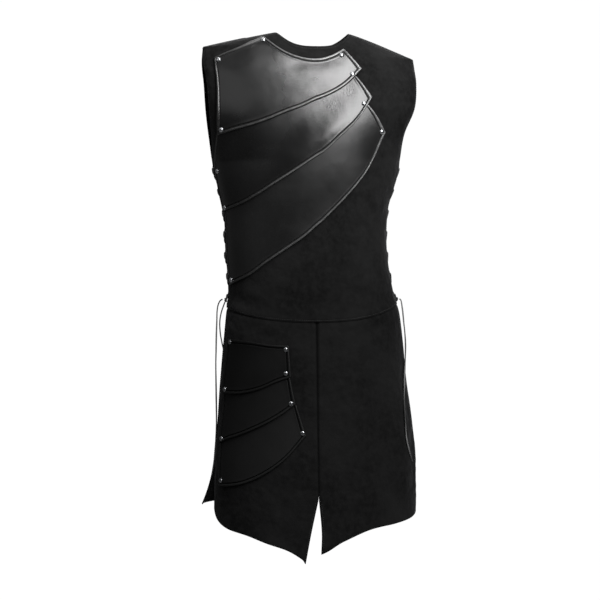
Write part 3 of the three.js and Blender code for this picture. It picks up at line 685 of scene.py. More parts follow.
def paint_leather(n, shader, colour, rough, pebbles, gloss, marks, bead_wear_and_highlight, height_shade):
    """Dyed leather: a burnished, rubbed bead, also lightened as a painted highlight, and painted
    shade in the tooled groove and along the cut edges.
    """
    place = n.place()
    edge = n.attribute("edge")
    hide = n.effect("leather_grain", place, pebbles, 60.0, n.attribute("scuffed"))
    wear = n.effect("edge_wear", place, edge, 5.0)["Wear"]
    height = n.part(place, "Z")
    bead = n.band(edge, *BEAD)
    # Painted shade: the tooled groove, and a band at the cut edge as the shadow under the plate's
    # edge, are painted dark.
    dark = n.math("MAXIMUM", n.band(edge, *GROOVE), n.ramp(edge, *CUT_EDGE_SHADE, 1.0, 0.0))
    # The bead is lightened partly by wear and partly as a painted highlight, more towards the
    # wearer's left and higher up, where the key light falls.
    rubbed = n.times(bead, n.plus(0.45, n.times(wear, 0.55)))
    rubbed = n.times(rubbed, n.ramp(n.part(place, "X"), -0.17, 0.02, 0.12, 1.0))
    rubbed = n.times(rubbed, n.ramp(height, -0.4, -0.12, 0.5, 1.0))
    base = n.blend(n.times(hide["Clouds"], 0.6), grown(colour, 0.8), grown(colour, 1.5))
    # Painted shade and light that change with height, as the finish gives them.
    base = n.painted_height_shade(base, place, *height_shade)
    base = n.blend(rubbed, base, grown(colour, bead_wear_and_highlight))
    base = n.blend(n.times(hide["Marks"], marks), base, grown(colour, 8.0))
    base = n.blend(n.times(hide["Scuffs"], 0.7), base, grown(colour, 12.0))
    dull = n.ramp(hide["Clouds"], 0.25, 0.75, rough - 0.05, rough + 0.06)
    dull = n.plus(dull, n.times(hide["Marks"], 0.25 * marks))
    dull = n.math("SUBTRACT", dull, n.times(bead, 0.1))
    dull = n.plus(dull, n.attribute("dulled"))
    dull = n.plus(dull, n.times(bead, n.ramp(height, -0.05, -0.022, 0.0, 0.4)))
    waves = n.plus(hide["Waves"], n.times(hide["Scuffs"], 0.2))
    pores = n.math("SUBTRACT", hide["Height"], hide["Marks"])
    n.fill(shader, {
        "Base Color": n.blend(dark, base, grown(colour, 0.3)),
        "Roughness": n.math("ADD", dull, n.times(dark, 0.5), clamp=True),
        "Specular IOR Level": gloss,
        "Normal": n.bump(pores, 0.06, 0.0003, n.bump(waves, 0.14, 0.01)),
    })


def paint_nickel(n, shader, colour):
    """Polished plate, a little tarnished, with painted shade on the rivets lower down."""
    place = n.place()
    tarnish = n.noise(place, 420.0, 3.0, 0.6)
    base = n.blend(n.ramp(tarnish, 0.45, 0.75), grown(colour, 1.0), grown(colour, 0.7))
    n.fill(shader, {
        # Painted shade: darker below the waist, dimming the hip rivets' highlights.
        "Base Color": n.painted_height_shade(base, place, -0.6, -0.5, 0.4, 1.0),
        "Roughness": n.ramp(tarnish, 0.3, 0.8, 0.16, 0.34),
        "Metallic": 1.0,
        "Normal": n.bump(n.noise(place, 2600.0, 2.0, 0.5), 0.1, 0.0002),
    })


def paint_lace(n, shader, colour):
    """A leather thong: dyed grain on one side, raw grey flesh on the other."""
    round_the_lace = n.part(n.add("ShaderNodeUVMap", uv_map="UVMap").outputs["UV"], "Y")
    place = n.place()
    fuzz = n.noise(place, 900.0, 3.0, 0.6)
    flesh = n.ramp(n.plus(round_the_lace, n.times(fuzz, 0.08)), 0.5, 0.56)
    base = n.blend(flesh, grown(colour, 1.0), grown(colour, 9.0))
    n.fill(shader, {
        "Base Color": n.blend(n.times(fuzz, 0.5), base, grown(colour, 0.6)),
        "Roughness": n.ramp(flesh, 0.0, 1.0, 0.5, 0.85),
        "Normal": n.bump(n.noise(place, 1800.0, 3.0, 0.6), 0.35, 0.0003),
    })


def paint_thread(n, shader, colour):
    """Waxed, twisted sewing thread."""
    twist = n.noise(n.place(), 2500.0, 2.0, 0.5)
    n.fill(shader, {
        "Base Color": n.blend(twist, grown(colour, 0.7), grown(colour, 1.4)),
        "Roughness": n.ramp(twist, 0.3, 0.7, 0.5, 0.65),
        "Normal": n.bump(twist, 0.4, 0.0002),
    })


# Each finish: its material's name, how it is painted, and for leather its roughness, pebbles to
# the metre, gloss, marks, how far the bead is lightened by wear and painted highlight, and the
# painted shade and light from height to height.
FINISHES = {
    "suede": ("black_suede", paint_suede),
    "chest_leather": (
        "oiled_leather", paint_leather, 0.24, 1100.0, 0.6, 0.5, 55.0, (-0.42, -0.24, 0.8, 1.0),
    ),
    "hip_leather": (
        "matt_leather", paint_leather, 0.5, 900.0, 0.15, 0.2, 5.0, (-0.88, -0.64, 2.0, 0.6),
    ),
    "nickel": ("polished_nickel", paint_nickel),
    "lace": ("lace_leather", paint_lace),
    "thread": ("waxed_thread", paint_thread),
}


def new_material(name):
    material = bpy.data.materials.new(name)
    material.use_nodes = True
    tree = material.node_tree
    return material, Nodes(tree), tree.nodes["Principled BSDF"]


def finish_material(finish):
    """The material of a finish, painted on first use."""
    name, paint, *values = FINISHES[finish]
    material = bpy.data.materials.get(name)
    if material is None:
        material, n, shader = new_material(name)
        paint(n, shader, getattr(bpy.context.scene.vest_colours, finish), *values)
    return material


def finish_piece(piece, finish, *replaces):
    """Gives a piece its finish and its body, and hides the frame's nodes that it stands for."""
    piece.data.materials.clear()
    piece.data.materials.append(finish_material(finish))
    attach(piece, "root")
    if replaces:
        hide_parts(*replaces)


def paper_material():
    """Pale paper, white to look at, with a painted glow where it rises into the wall behind."""
    material, n, shader = new_material("pale_backdrop")
    place = n.place()
    n.fill(shader, {
        "Base Color": n.blend(n.noise(place, 3.0), (0.14, 0.14, 0.14, 1), (0.16, 0.16, 0.16, 1)),
        "Roughness": 0.9,
        "Specular IOR Level": 0.2,
    })
    seen = n.times(n.add("ShaderNodeLightPath").outputs["Is Camera Ray"], 0.92)
    # Painted light: the wall behind glows for every ray, and the plates' rims mirror it.
    share = n.math("MAXIMUM", seen, n.ramp(n.part(place, "Y"), 1.5, 4.5, 0.0, 0.06))
    glow = n.add("ShaderNodeEmission", {"Color": (1, 1, 1, 1), "Strength": 1.1})
    surface = material.node_tree.nodes["Material Output"].inputs["Surface"]
    n.put(surface, n.mixed(share, shader, glow))
    return material


# ---- Suede panels ----

NECK_STEPS = 16
ROUND_STEPS = 46
BODY_STEPS = 120
ROW_CROWDING = 1.75
SKIRT_ROUND = 60
SKIRT_STEPS = 96
SEAM_CROWDING = 1.25
WAIST_TUCK = 2.5
VENT_TOP = 908
SEAM_SHADE = 3.2
CENTRE_LAP = 0.5
SMOOTH_EDGE = 14
SUEDE_RIM = 0.55

# Main creases of each panel: from and to as turn and down, then width, depth and rise beside it.
CREASES = {
    "front_body": (
        (-62, 524, -38, 536, 11, -2.9), (-70, 508, -50, 520, 9, 1.4), (66, 510, 46, 531, 12, -3.0),
        (74, 498, 52, 514, 9, 1.4), (34, 384, 44, 402, 9, -2.1), (50, 430, 30, 452, 12, -1.4),
        (72, 300, 52, 330, 14, -2.2), (76, 352, 58, 376, 12, -1.8), (60, 150, 48, 250, 16, -2.4),
        (44, 70, 52, 150, 14, 1.3), (-30, 520, 4, 540, 12, -1.1), (10, 500, 36, 520, 14, -1.3),
    ),
    "back_body": (
        (-66, 510, -34, 528, 12, -3.6), (-74, 492, -48, 506, 10, 2.3), (64, 505, 36, 524, 12, -3.4),
        (72, 488, 50, 500, 10, 2.2), (-20, 500, 16, 512, 13, -2.2), (-12, 300, -8, 470, 20, -2.9),
        (10, 320, 14, 440, 18, -2.2), (-50, 150, -36, 260, 16, -2.7), (52, 140, 38, 270, 17, -2.5),
        (-28, 60, 20, 70, 14, -1.6), (70, 320, 44, 360, 13, -2.3), (-72, 330, -50, 372, 12, -2.2),
    ),
    "skirt_front_right": (
        (-80, 575, -66, 590, 10, 1.1), (-14, 590, -12, 760, 16, -1.6),
        (-40, 900, -36, 985, 18, 1.6), (-62, 890, -66, 965, 16, -2.1),
        (-22, 860, -16, 1000, 18, -2.1),
    ),
    "skirt_front_left": (
        (60, 556, 30, 590, 14, -2.1), (22, 600, 26, 840, 22, -1.8), (44, 640, 52, 900, 22, 1.5),
        (66, 620, 72, 940, 20, -2.6), (12, 840, 16, 985, 18, -2.1), (78, 820, 76, 948, 14, 1.6),
    ),
    "skirt_back": (
        (-60, 560, -30, 590, 14, -2.5), (56, 556, 24, 588, 14, -2.3), (-40, 640, -46, 940, 24, 3.2),
        (-16, 700, -20, 940, 22, -3.1), (14, 620, 12, 930, 24, 2.7), (38, 680, 44, 940, 24, -3.2),
        (64, 620, 70, 930, 22, 2.9), (-70, 640, -74, 930, 20, -2.7),
    ),
}
MM_PER_TURN = 3.3


def crease_height(name, turn, down):
    """How far the creases lift or sink a place, in millimetres."""
    total = 0.0
    for turn_a, down_a, turn_b, down_b, width, depth in CREASES[name]:
        ax, ay = turn_a * MM_PER_TURN, down_a
        bx, by = turn_b * MM_PER_TURN, down_b
        px, py = turn * MM_PER_TURN, down
        run_x, run_y = bx - ax, by - ay
        length = math.hypot(run_x, run_y)
        along = ((px - ax) * run_x + (py - ay) * run_y) / length
        wave = 0.18 * width * math.sin(along * 5.0 / width)
        off = ((px - ax) * run_y - (py - ay) * run_x) / length + wave
        past = max(0.0, -along, along - length)
        middle = 0.55 + 0.45 * math.sin(math.pi * min(1.0, max(0.0, along / length)))
        spread = width * (1 + 0.25 * math.sin(along * 0.07 + width))
        total += depth * middle * math.exp(-((off / spread) ** 2) - (past / (1.3 * width)) ** 2)
    return total


def softly(turn, down, seed):
    """Small uneven rise and fall that no worn hide is without."""
    broad = math.sin(turn * 0.09 + down * 0.013 + seed)
    broad *= math.sin(down * 0.021 - turn * 0.05 + 2 * seed)
    fine = math.sin(turn * 0.21 - down * 0.027 + 3 * seed)
    fine *= math.sin(down * 0.043 + turn * 0.13 + seed)
    return 0.45 * broad + 0.22 * fine


def shell(name, grid, turns, fold, joined=None):
    """A suede panel from its grid: creases and folded edges, flat UV map and wall."""
    normals = grid_normals(grid)
    across = arc_lengths(grid, 1)
    upward = arc_lengths(grid, 0)
    edges = {
        "start": across,
        "end": across[:, -1:] - across,
        "foot": upward,
        "top": upward[-1:, :] - upward,
    }
    nearest = np.minimum.reduce(list(edges.values()))
    lift = np.zeros(nearest.shape)
    for spot in np.ndindex(lift.shape):
        down, turn = -grid[spot][2], turns[spot]
        rise = crease_height(name, turn, down) + softly(turn, down, len(name))
        folded = fold(down, *(edge[spot] for edge in edges.values()))
        lift[spot] = rise * smooth(0, SMOOTH_EDGE, nearest[spot]) + folded
    laid = grid + normals * lift[..., None]
    flat = np.stack([across - across[:, -1:] / 2, upward], axis=2) * MM
    piece, row, column = lay_grid(name, laid, flat)
    add_values(piece, "edge", nearest[row, column])
    # Painted shade for the centre seam: how near a place is to the sewn centre edge.
    if joined:
        sewn = grid[..., 2] > -VENT_TOP
        near = np.clip(1 - edges[joined] / SEAM_SHADE, 0, 1) * sewn
        add_values(piece, "seam", near[row, column])
    thicken(piece, bpy.context.scene.vest_sizes.suede_wall / MM, SUEDE_RIM)
    return piece, laid, normals


def panel_grid(steps, columns, place):
    """A panel's points and turns, from its foot up; place works out both."""
    shares = [row / steps for row in range(steps + 1)]
    return parted([[place(column, share) for column in columns] for share in shares], 2)


def body_columns(side):
    neck = NECK_HALF_WIDTH / SHOULDER[side]["reach"]
    shares = [neck * (1 - (1 - step / NECK_STEPS) ** 1.4) for step in range(NECK_STEPS + 1)]
    for step in range(1, ROUND_STEPS + 1):
        shares.append(across_share(mix(turn_at(neck), 90, step / ROUND_STEPS)))
    return shares


def body_grid(face):
    columns = [-share for share in reversed(body_columns("right"))] + body_columns("left")[1:]
    if face == "back":
        columns.reverse()

    def place(share, up):
        side = side_of(share)
        top = top_down(face, share * SHOULDER[side]["reach"])
        down = mix(top, waist_down(face, share, side), (1 - up) ** ROW_CROWDING)
        return body_point(face, share * outer_width(face, side, down), down), turn_at(share)

    return panel_grid(BODY_STEPS, columns, place)


def front_skirt_grid(side):
    sign = OUTWARD[side]
    hem = HEM[side]
    columns = range(SKIRT_ROUND + 1)

    def centre(down):
        return read(CENTRE_FRONT[side], "down", "x", down)

    def turn_round(down, around):
        return mix(turn_of(centre(down), down) * sign, 90, around)

    def place(column, up):
        around = (column / SKIRT_ROUND) ** SEAM_CROWDING
        turn_top = turn_round(WAIST["front"]["centre"], around)
        top = waist_down("front", across_share(turn_top), side) - WAIST_TUCK
        foot = read(hem, "turn", "down", mix(hem[0]["turn"], 90, around))
        down = mix(foot, top, up)
        turn = turn_round(down, around)
        x = sign * across_share(turn) * outer_width("front", side, down)
        if column == 0:
            x = centre(down) - sign * CENTRE_LAP * (1 - smooth(VENT_TOP - 10, VENT_TOP + 4, down))
        return body_point("front", x, down), sign * turn

    return panel_grid(SKIRT_STEPS, columns if side == "left" else columns[::-1], place)


def back_skirt_grid():
    def place(column, up):
        turn = -90 * column / SKIRT_ROUND
        top = waist_down("back", across_share(turn), side_of(turn)) - WAIST_TUCK
        return turn_point("back", turn, mix(BACK_HEM, top, up)), turn

    return panel_grid(SKIRT_STEPS, range(-SKIRT_ROUND, SKIRT_ROUND + 1), place)


def body_fold(down, start, end, foot, top):
    """The waist's folded edge stands proud, and the turned armhole and neck edges a little."""
    waist = 0.9 * (1 - smooth(9, 12, foot)) * smooth(-1, 1.6, foot)
    turned = 0.5 * (1 - smooth(8, 10, min(start, end, top)))
    return waist + turned


def skirt_fold(down, start, end, foot, top):
    """The skirt's top edge is tucked under the waist's fold."""
    return -1.2 * (1 - smooth(4, 10, top))


def seamed(side):
    """A front skirt's centre edge dips into the seam, with a soft ridge beside it."""
    height = {"right": 0.8, "left": 0.1}[side]

    def fold(down, start, end, foot, top):
        centre = end if side == "right" else start
        gathered = 1 + 1.3 * (1 - smooth(2, 12, down - WAIST["front"]["centre"]))
        dip = -1.7 * gathered * (1 - smooth(0.5, 4.5, centre))
        ridge = height * smooth(2.5, 5, centre) * (1 - smooth(7, 11, centre))
        return skirt_fold(down, start, end, foot, top) + dip + ridge

    return fold


def punch_eyelets(piece, grid):
    """Punches the lacing's holes through a body panel."""
    punches = []
    for side in OUTWARD:
        for row in range(EYELET["rows"]):
            bpy.ops.mesh.primitive_cylinder_add(
                vertices=14, radius=EYELET["radius"] * MM, depth=12 * MM,
                location=to_world(near_edge(grid, side, EYELET["inset"], eyelet_down(row))),
                rotation=(0, math.pi / 2, 0),
            )
            punches.append(bpy.context.object)
    tool = join(punches)
    activate(piece)
    cut = piece.modifiers.new("holes", "BOOLEAN")
    cut.operation = "DIFFERENCE"
    cut.solver = "EXACT"
    cut.object = tool
    bpy.ops.object.modifier_apply(modifier=cut.name)
    bpy.data.objects.remove(tool)


def eyelet_down(row):
    return EYELET["first_down"] + EYELET["pitch"] * row


def on_column(grid, column, down):
    row = 0
    while row < len(grid) - 2 and -grid[row + 1][column][2] > down:
        row += 1
    low, high = grid[row][column], grid[row + 1][column]
    return low + (high - low) * ((-low[2] - down) / (high[2] - low[2]))


def near_edge(grid, side, inset, down):
    """The point of a body panel a little way in from its side edge, along its surface."""
    columns = list(range(len(grid[0])))
    if OUTWARD[side] * grid[0][0][0] < 0:
        columns.reverse()
    edge = before = on_column(grid, columns[0], down)
    if inset == 0:
        return edge
    for column in columns[1:]:
        inner = on_column(grid, column, down)
        if abs(inner[1] - edge[1]) >= inset:
            share = (inset - abs(before[1] - edge[1])) / abs(inner[1] - before[1])
            return before + (inner - before) * share
        before = inner
    return edge


# ---- Plates ----

def spaced_ribs(ribs):
    """A plate's ribs, each with its distance along the plate."""
    spaced, at, before = [], 0.0, None
    for rib in ribs:
        turn = mix(rib["top_turn"], rib["foot_turn"], 0.5)
        middle = turn_point("front", turn, mix(rib["top_down"], rib["foot_down"], 0.5))
        if before is not None:
            at += float(np.linalg.norm(middle - before))
        before = middle
        spaced.append({**rib, "at": at})
    return spaced


def plate_point(table, along, across):
    rib = {key: read(table, "at", key, along * table[-1]["at"]) for key in RIB.split()[:5]}
    turn = mix(rib["top_turn"], rib["foot_turn"], across) + rib["bow"] * 4 * across * (1 - across)
    return turn_point("front", turn, mix(rib["top_down"], rib["foot_down"], across))


def apart(table, one, other):
    """The distance between two places of a plate, each as shares along and across."""
    return float(np.linalg.norm(plate_point(table, *one) - plate_point(table, *other)))


# Distances in from a cut edge where the tooled edge changes, and the surface's height there.
EDGE_PROFILE = (
    (0.0, -0.9), (0.3, 0.0), (0.8, 0.6), (1.6, 1.05), (2.6, 1.25), (3.6, 1.1), (4.5, 0.6),
    (5.1, -0.1), (5.7, -1.1), (6.2, -1.5), (6.8, -1.5), (7.3, -0.7), (7.8, 0.15), (8.6, 0.3),
    (10.5, 0.0),
)


def edge_height(distance):
    for (at, height), (next_at, next_height) in zip(EDGE_PROFILE, EDGE_PROFILE[1:]):
        if distance <= next_at:
            return mix(height, next_height, max(0.0, distance - at) / (next_at - at))
    return 0.0


def edged(length, steps):
    """Distances along a length, close together over the tooled edge at both ends."""
    near = [at for at, _ in EDGE_PROFILE]
    start, end = near[-1], length - near[-1]
    inner = [mix(start, end, step / steps) for step in range(1, steps)]
    return near + inner + [length - at for at in reversed(near)]


def area_of(plate):
    return plate.split("_")[0]


def foot_lift(name, from_foot):
    """How high a plate's underside stands: its foot rides over the next plate's top."""
    low = PLATE_LIFT[area_of(name)]
    if name in LAST_PLATES:
        return low
    over = bpy.context.scene.vest_sizes.plate_wall / MM + LAP["gap"]
    return low + over * (1 - smooth(LAP["band"], LAP["band"] + LAP["ramp"], from_foot))


def plate_grid(name):
    """A plate's points, distances from the foot and rib lengths, then the places along it."""
    table = spaced_ribs(PLATES[name])
    long = apart(table, (0, 0.5), (1, 0.5))
    columns = edged(long, PLATE_STEPS[area_of(name)])
    count = max(8, int(apart(table, (0.5, 0), (0.5, 1)) / 4))
    ribs = []
    for distance in columns:
        along = distance / long
        length = apart(table, (along, 0), (along, 1))
        ribs.append([
            (plate_point(table, along, 1 - up / length), up, length) for up in edged(length, count)
        ])
    grid, up, lengths = parted(list(zip(*ribs)), 3)
    return grid, up, lengths, np.tile(columns, (len(grid), 1)), long


PLATE_STEPS = {"chest": 70, "hip": 34}
PLATE_RIM = 0.3
# Places where a plate has been bent and scuffed: x, down and reach in millimetres.
SCUFFS = {"chest_plate_middle": ((16, 142, 17), (30, 150, 12), (58, 122, 12))}
# How much rougher than the rest a plate is worn, and every plate towards the wearer's side.
DULLED = {"chest_plate_lower": 0.12}
SIDE_DULL = 0.06


def scuffing(name, grid):
    total = np.zeros(grid.shape[:2])
    for x, down, reach in SCUFFS.get(name, ()):
        away = np.hypot(grid[..., 0] - x, grid[..., 2] + down)
        total = np.maximum(total, np.exp(-((away / reach) ** 2)))
    return total


def make_plate(name):
    grid, up, lengths, across, long = plate_grid(name)
    wall = bpy.context.scene.vest_sizes.plate_wall / MM
    from_top = lengths - up
    sides = np.minimum(across, long - across)
    cut = np.minimum(sides, np.minimum(up, from_top))
    if name.endswith("upper"):
        raised = each(edge_height, cut)
    else:
        raised = each(edge_height, np.minimum(sides, up))
        raised *= each(lambda value: smooth(8, 16, value), from_top)
    stand = each(lambda value: foot_lift(name, value), up)
    laid = grid + grid_normals(grid) * (stand + wall + raised)[..., None]
    worn = DULLED.get(name, 0.0)
    dulled = each(lambda x: worn + SIDE_DULL * (1 - smooth(-110, -50, x)), grid[..., 0])
    flat = np.stack([across, up], axis=2) * MM
    piece, row, column = lay_grid(f"{name}_leather", laid, flat)
    for label, values in {"edge": cut, "scuffed": scuffing(name, grid), "dulled": dulled}.items():
        add_values(piece, label, values[row, column])
    raised = raised[row, column]
    body = wall - PLATE_RIM
    thicken(piece, body + float(raised.max()), PLATE_RIM, depths=body + raised)
    finish_piece(piece, f"{area_of(name)}_leather", name)


# ---- Rivets ----

def rivet_form():
    """One domed rivet head with a thin flat brim, standing on its own underside."""
    sizes = bpy.context.scene.vest_sizes
    radius, height = sizes.rivet_radius, sizes.rivet_height
    deselect()
    bpy.ops.mesh.primitive_uv_sphere_add(segments=24, ring_count=16, radius=radius)
    piece = bpy.context.object
    edit_all()
    bpy.ops.mesh.bisect(
        plane_co=(0, 0, 0.15 * radius), plane_no=(0, 0, 1), clear_inner=True, use_fill=True,
    )
    bpy.ops.mesh.select_all(action="SELECT")
    bpy.ops.transform.resize(value=(1, 1, height / radius))
    bpy.ops.mesh.select_all(action="DESELECT")
    leave_edit()
    for polygon in piece.data.polygons:
        polygon.select = polygon.normal.z < -0.9
    bpy.ops.object.mode_set(mode="EDIT")
    bpy.ops.mesh.extrude_region_move(TRANSFORM_OT_translate={"value": (0, 0, -0.16 * height)})
    bpy.ops.mesh.inset(thickness=0.25 * radius, depth=0)
    leave_edit()
    settle(piece)
    low = min(vertex.co.z for vertex in piece.data.vertices)
    piece.data.transform(Matrix.Translation((0, 0, -low)))
    activate(piece)
    bpy.ops.object.shade_smooth_by_angle(angle=math.radians(50))
    return piece


def surface_frame(turn, down, step=2):
    """A point of the front and its outward normal."""
    at = turn_point("front", turn, down)
    below = turn_point("front", turn, down + step)
    beside = turn_point("front", turn + step, down)
    return at, unit(np.cross(beside - at, at - below))


def foot_distance(name, point):
    """How far along its rib a point of a plate lies from the foot."""
    table = spaced_ribs(PLATES[name])
    best = (1e9, 0.0)
    for along in np.linspace(0, 1, 41):
        foot = plate_point(table, along, 1)
        for across in np.linspace(0, 1, 41):
            spot = plate_point(table, along, across)
            away = float(np.linalg.norm(spot - point))
            if away < best[0]:
                best = (away, float(np.linalg.norm(spot - foot)))
    return best[1]


# ---- Laces ----

def smooth_path(points, step):
    """Points of a smooth curve through the given ones, about a step apart."""
    points = [np.array(point, float) for point in points]
    closed = [2 * points[0] - points[1]] + points + [2 * points[-1] - points[-2]]
    path = [points[0]]
    for a, b, c, d in zip(closed, closed[1:], closed[2:], closed[3:]):
        count = max(2, int(round(np.linalg.norm(c - b) / step)))
        for index in range(1, count + 1):
            t = index / count
            bend = (2 * a - 5 * b + 4 * c - d) * t * t + (3 * b - 3 * c + d - a) * t * t * t
            path.append(0.5 * (2 * b + (c - a) * t + bend))
    return np.array(path)


def sweep(name, path, widths, sides, turns, start):
    """A flat-sided lace swept along a path in millimetres, turning on itself as it goes."""
    diameter = bpy.context.scene.vest_sizes.lace_diameter / MM
    wide, thick = (diameter * share for share in widths)
    count = len(path)
    tangents = np.gradient(path, axis=0)
    tangents /= np.linalg.norm(tangents, axis=1, keepdims=True)
    normal = unit(np.cross(tangents[0], (0.3, 1.0, 0.2)))
    runs = run_along(path)
    points, faces, places = [], [], []
    for index, tangent in enumerate(tangents):
        if index:
            normal = unit(normal - tangent * normal.dot(tangent))
        other = np.cross(tangent, normal)
        twist = start + 2 * math.pi * turns * index / (count - 1)
        for side in range(sides):
            angle = 2 * math.pi * side / sides
            a = wide / 2 * math.cos(angle)
            b = thick / 2 * math.sin(angle)
            x = a * math.cos(twist) - b * math.sin(twist)
            y = a * math.sin(twist) + b * math.cos(twist)
            points.append(path[index] + normal * x + other * y)
            places.append((runs[index] * MM, side / sides))
    for first in range(0, (count - 1) * sides, sides):
        for side in range(sides):
            after = (side + 1) % sides
            faces.append((first + side, first + after, first + sides + after, first + sides + side))
    faces.append(tuple(reversed(range(sides))))
    faces.append(tuple(range((count - 1) * sides, count * sides)))
    piece = mesh_piece(name, points, faces)
    mesh = piece.data
    layer = mesh.uv_layers.new(name="UVMap")
    for polygon in mesh.polygons:
        highest = max(places[mesh.loops[loop].vertex_index][1] for loop in polygon.loop_indices)
        for loop in polygon.loop_indices:
            u, v = places[mesh.loops[loop].vertex_index]
            if highest > 0.8 and v < 0.2 and len(polygon.vertices) == 4:
                v += 1.0
            layer.data[loop].uv = (u, v)
    mesh.update()
    face_outwards(piece)
    bpy.ops.object.shade_smooth_by_angle(angle=math.radians(60))
    return piece


def make_lace_end(name):
    length, turns, start, route = FREE_ENDS[name]
    path = smooth_path([(x, y, -down) for x, y, down in route], 3.0)
    piece = sweep(f"{name}_thong", path, (1.06, 0.86), 12, turns, start)
    finish_piece(piece, "lace", name)
    world = to_world(path)


def strand_points(side, start, grids):
    """One strand from the top eyelets down, changing panels at each row."""
    bend = EYELET["radius"] + 0.6
    near = 0.3 * bend
    gap = SIDE_EDGE_Y["back"] - SIDE_EDGE_Y["front"]
    inset = EYELET["inset"]
    slope = EYELET["pitch"] / (gap + 2 * inset)

    def place(face, distance, down, off):
        at = near_edge(grids[face], side, distance, down)
        return np.array((at[0] + OUTWARD[side] * off, at[1], -down))

    points = []
    for row in range(EYELET["rows"]):
        turn = (start + row) % 2
        face, other = FACES[turn], FACES[1 - turn]
        down = eyelet_down(row)
        points.append(place(face, inset, down, (LACE_OVER + LACE_UNDER) / 2))
        points.append(place(face, inset - near, down + near * slope, 0.7 * LACE_OVER))
        if row == EYELET["rows"] - 1:
            points.append(place(face, inset - 1.4 * bend, down + 2, LACE_OVER + 0.6))
            continue
        leave = place(face, 0, down + inset * slope, LACE_OVER)
        arrive = place(other, 0, down + (inset + gap) * slope, LACE_UNDER)
        middle = (leave + arrive) / 2
        here, there = place(face, 0, -middle[2], 0), place(other, 0, -middle[2], 0)
        crossing = LACE_CROSS["low" if turn else "high"]
        middle[0] = (here[0] + there[0]) / 2 + OUTWARD[side] * crossing
        points.append(place(face, inset - bend, down + bend * slope, LACE_OVER))
        points.extend([leave, middle, arrive])
        after = eyelet_down(row + 1)
        points.append(place(other, inset - bend, after - bend * slope, LACE_UNDER))
        points.append(place(other, inset - near, after - near * slope, 0.75 * LACE_UNDER - 0.2))
    return points


def knot_centre(side, grids):
    edge = near_edge(grids["front"], side, 0, KNOT["down"])
    y = (SIDE_EDGE_Y["front"] + SIDE_EDGE_Y["back"]) / 2
    return np.array((edge[0] + OUTWARD[side] * KNOT["off"], y, -KNOT["down"]))


def knot_path(centre, side):
    """An overhand knot drawn tight: a trefoil, flattened against the cloth."""
    points = []
    for step in range(61):
        t = 2 * math.pi * step / 60
        a = math.sin(t) + 2 * math.sin(2 * t)
        b = math.cos(t) - 2 * math.cos(2 * t)
        c = -math.sin(3 * t)
        points.append(centre + np.array((OUTWARD[side] * (0.9 + 1.35 * c), 1.12 * a, 1.2 * b)))
    return np.array(points)


def make_lacing(side, grids):
    """Both strands of a side in one lace, joined by a bar at the top, and the knot at the foot."""
    first, second = (strand_points(side, start, grids) for start in (0, 1))

    def inside(face, inset):
        at = near_edge(grids[face], side, inset, eyelet_down(0))
        return np.array((at[0] + OUTWARD[side] * LACE_UNDER, at[1], at[2]))

    bar = [inside("back", 6), inside("back", 0), inside("front", 0), inside("front", 6)]
    knot = knot_centre(side, grids)
    path = smooth_path([knot, *reversed(second), *bar, *first, knot], 2.6)
    lace = sweep(f"side_lace_{side}", path, (1.04, 0.9), 10, 6.0, 0.8)
    finish_piece(lace, "lace", f"lacing_{side}")
    tied = sweep(f"lace_knot_{side}", knot_path(knot, side), (0.98, 0.9), 10, 1.0, 2.4)
    finish_piece(tied, "lace")


def make_eyelets(side, grids):
    """Thread-bound rims of the lacing's holes, one ring modelled and copied to each hole."""
    thread = BINDING["radius"]
    deselect()
    bpy.ops.mesh.primitive_torus_add(
        major_radius=(EYELET["radius"] + thread) * MM, minor_radius=thread * MM,
        major_segments=20, minor_segments=8,
    )
    ring = bpy.context.object
    edit_all()
    bpy.ops.transform.resize(value=(1, 1, BINDING["flat"]))
    leave_edit()
    copies = []
    for grid in grids.values():
        for row in range(EYELET["rows"]):
            down, inset = eyelet_down(row), EYELET["inset"]
            at = near_edge(grid, side, inset, down)
            above = near_edge(grid, side, inset, down - 4)
            inner = near_edge(grid, side, inset + 4, down)
            normal = unit(np.cross(above - at, inner - at))
            if normal[0] * OUTWARD[side] < 0:
                normal = -normal
            copies.append(stood_copy(ring, at + normal * BINDING["lift"], normal))
    bpy.data.objects.remove(ring)
    piece = join(copies)
    piece.name = f"bound_eyelets_{side}"
    settle(piece)
    bpy.ops.object.shade_smooth()
    finish_piece(piece, "thread")


# ---- Sewing ----

STITCH = {"pitch": 4.2, "length": 3.1, "half_width": 0.42, "height": 0.32, "first": 0.5}
# How far in from a panel's edges its rows of stitches run.
SEWN = {"waist": 3, "neck": 5.5, "armhole": 6.5, "lacing": 19, "side": 6, "vent": 5}
ARMHOLE_ROW = (58, UNDERARM - 4)
LACING_ROW = (UNDERARM + 4, 530)
VENT_ROW = (918, 1010)


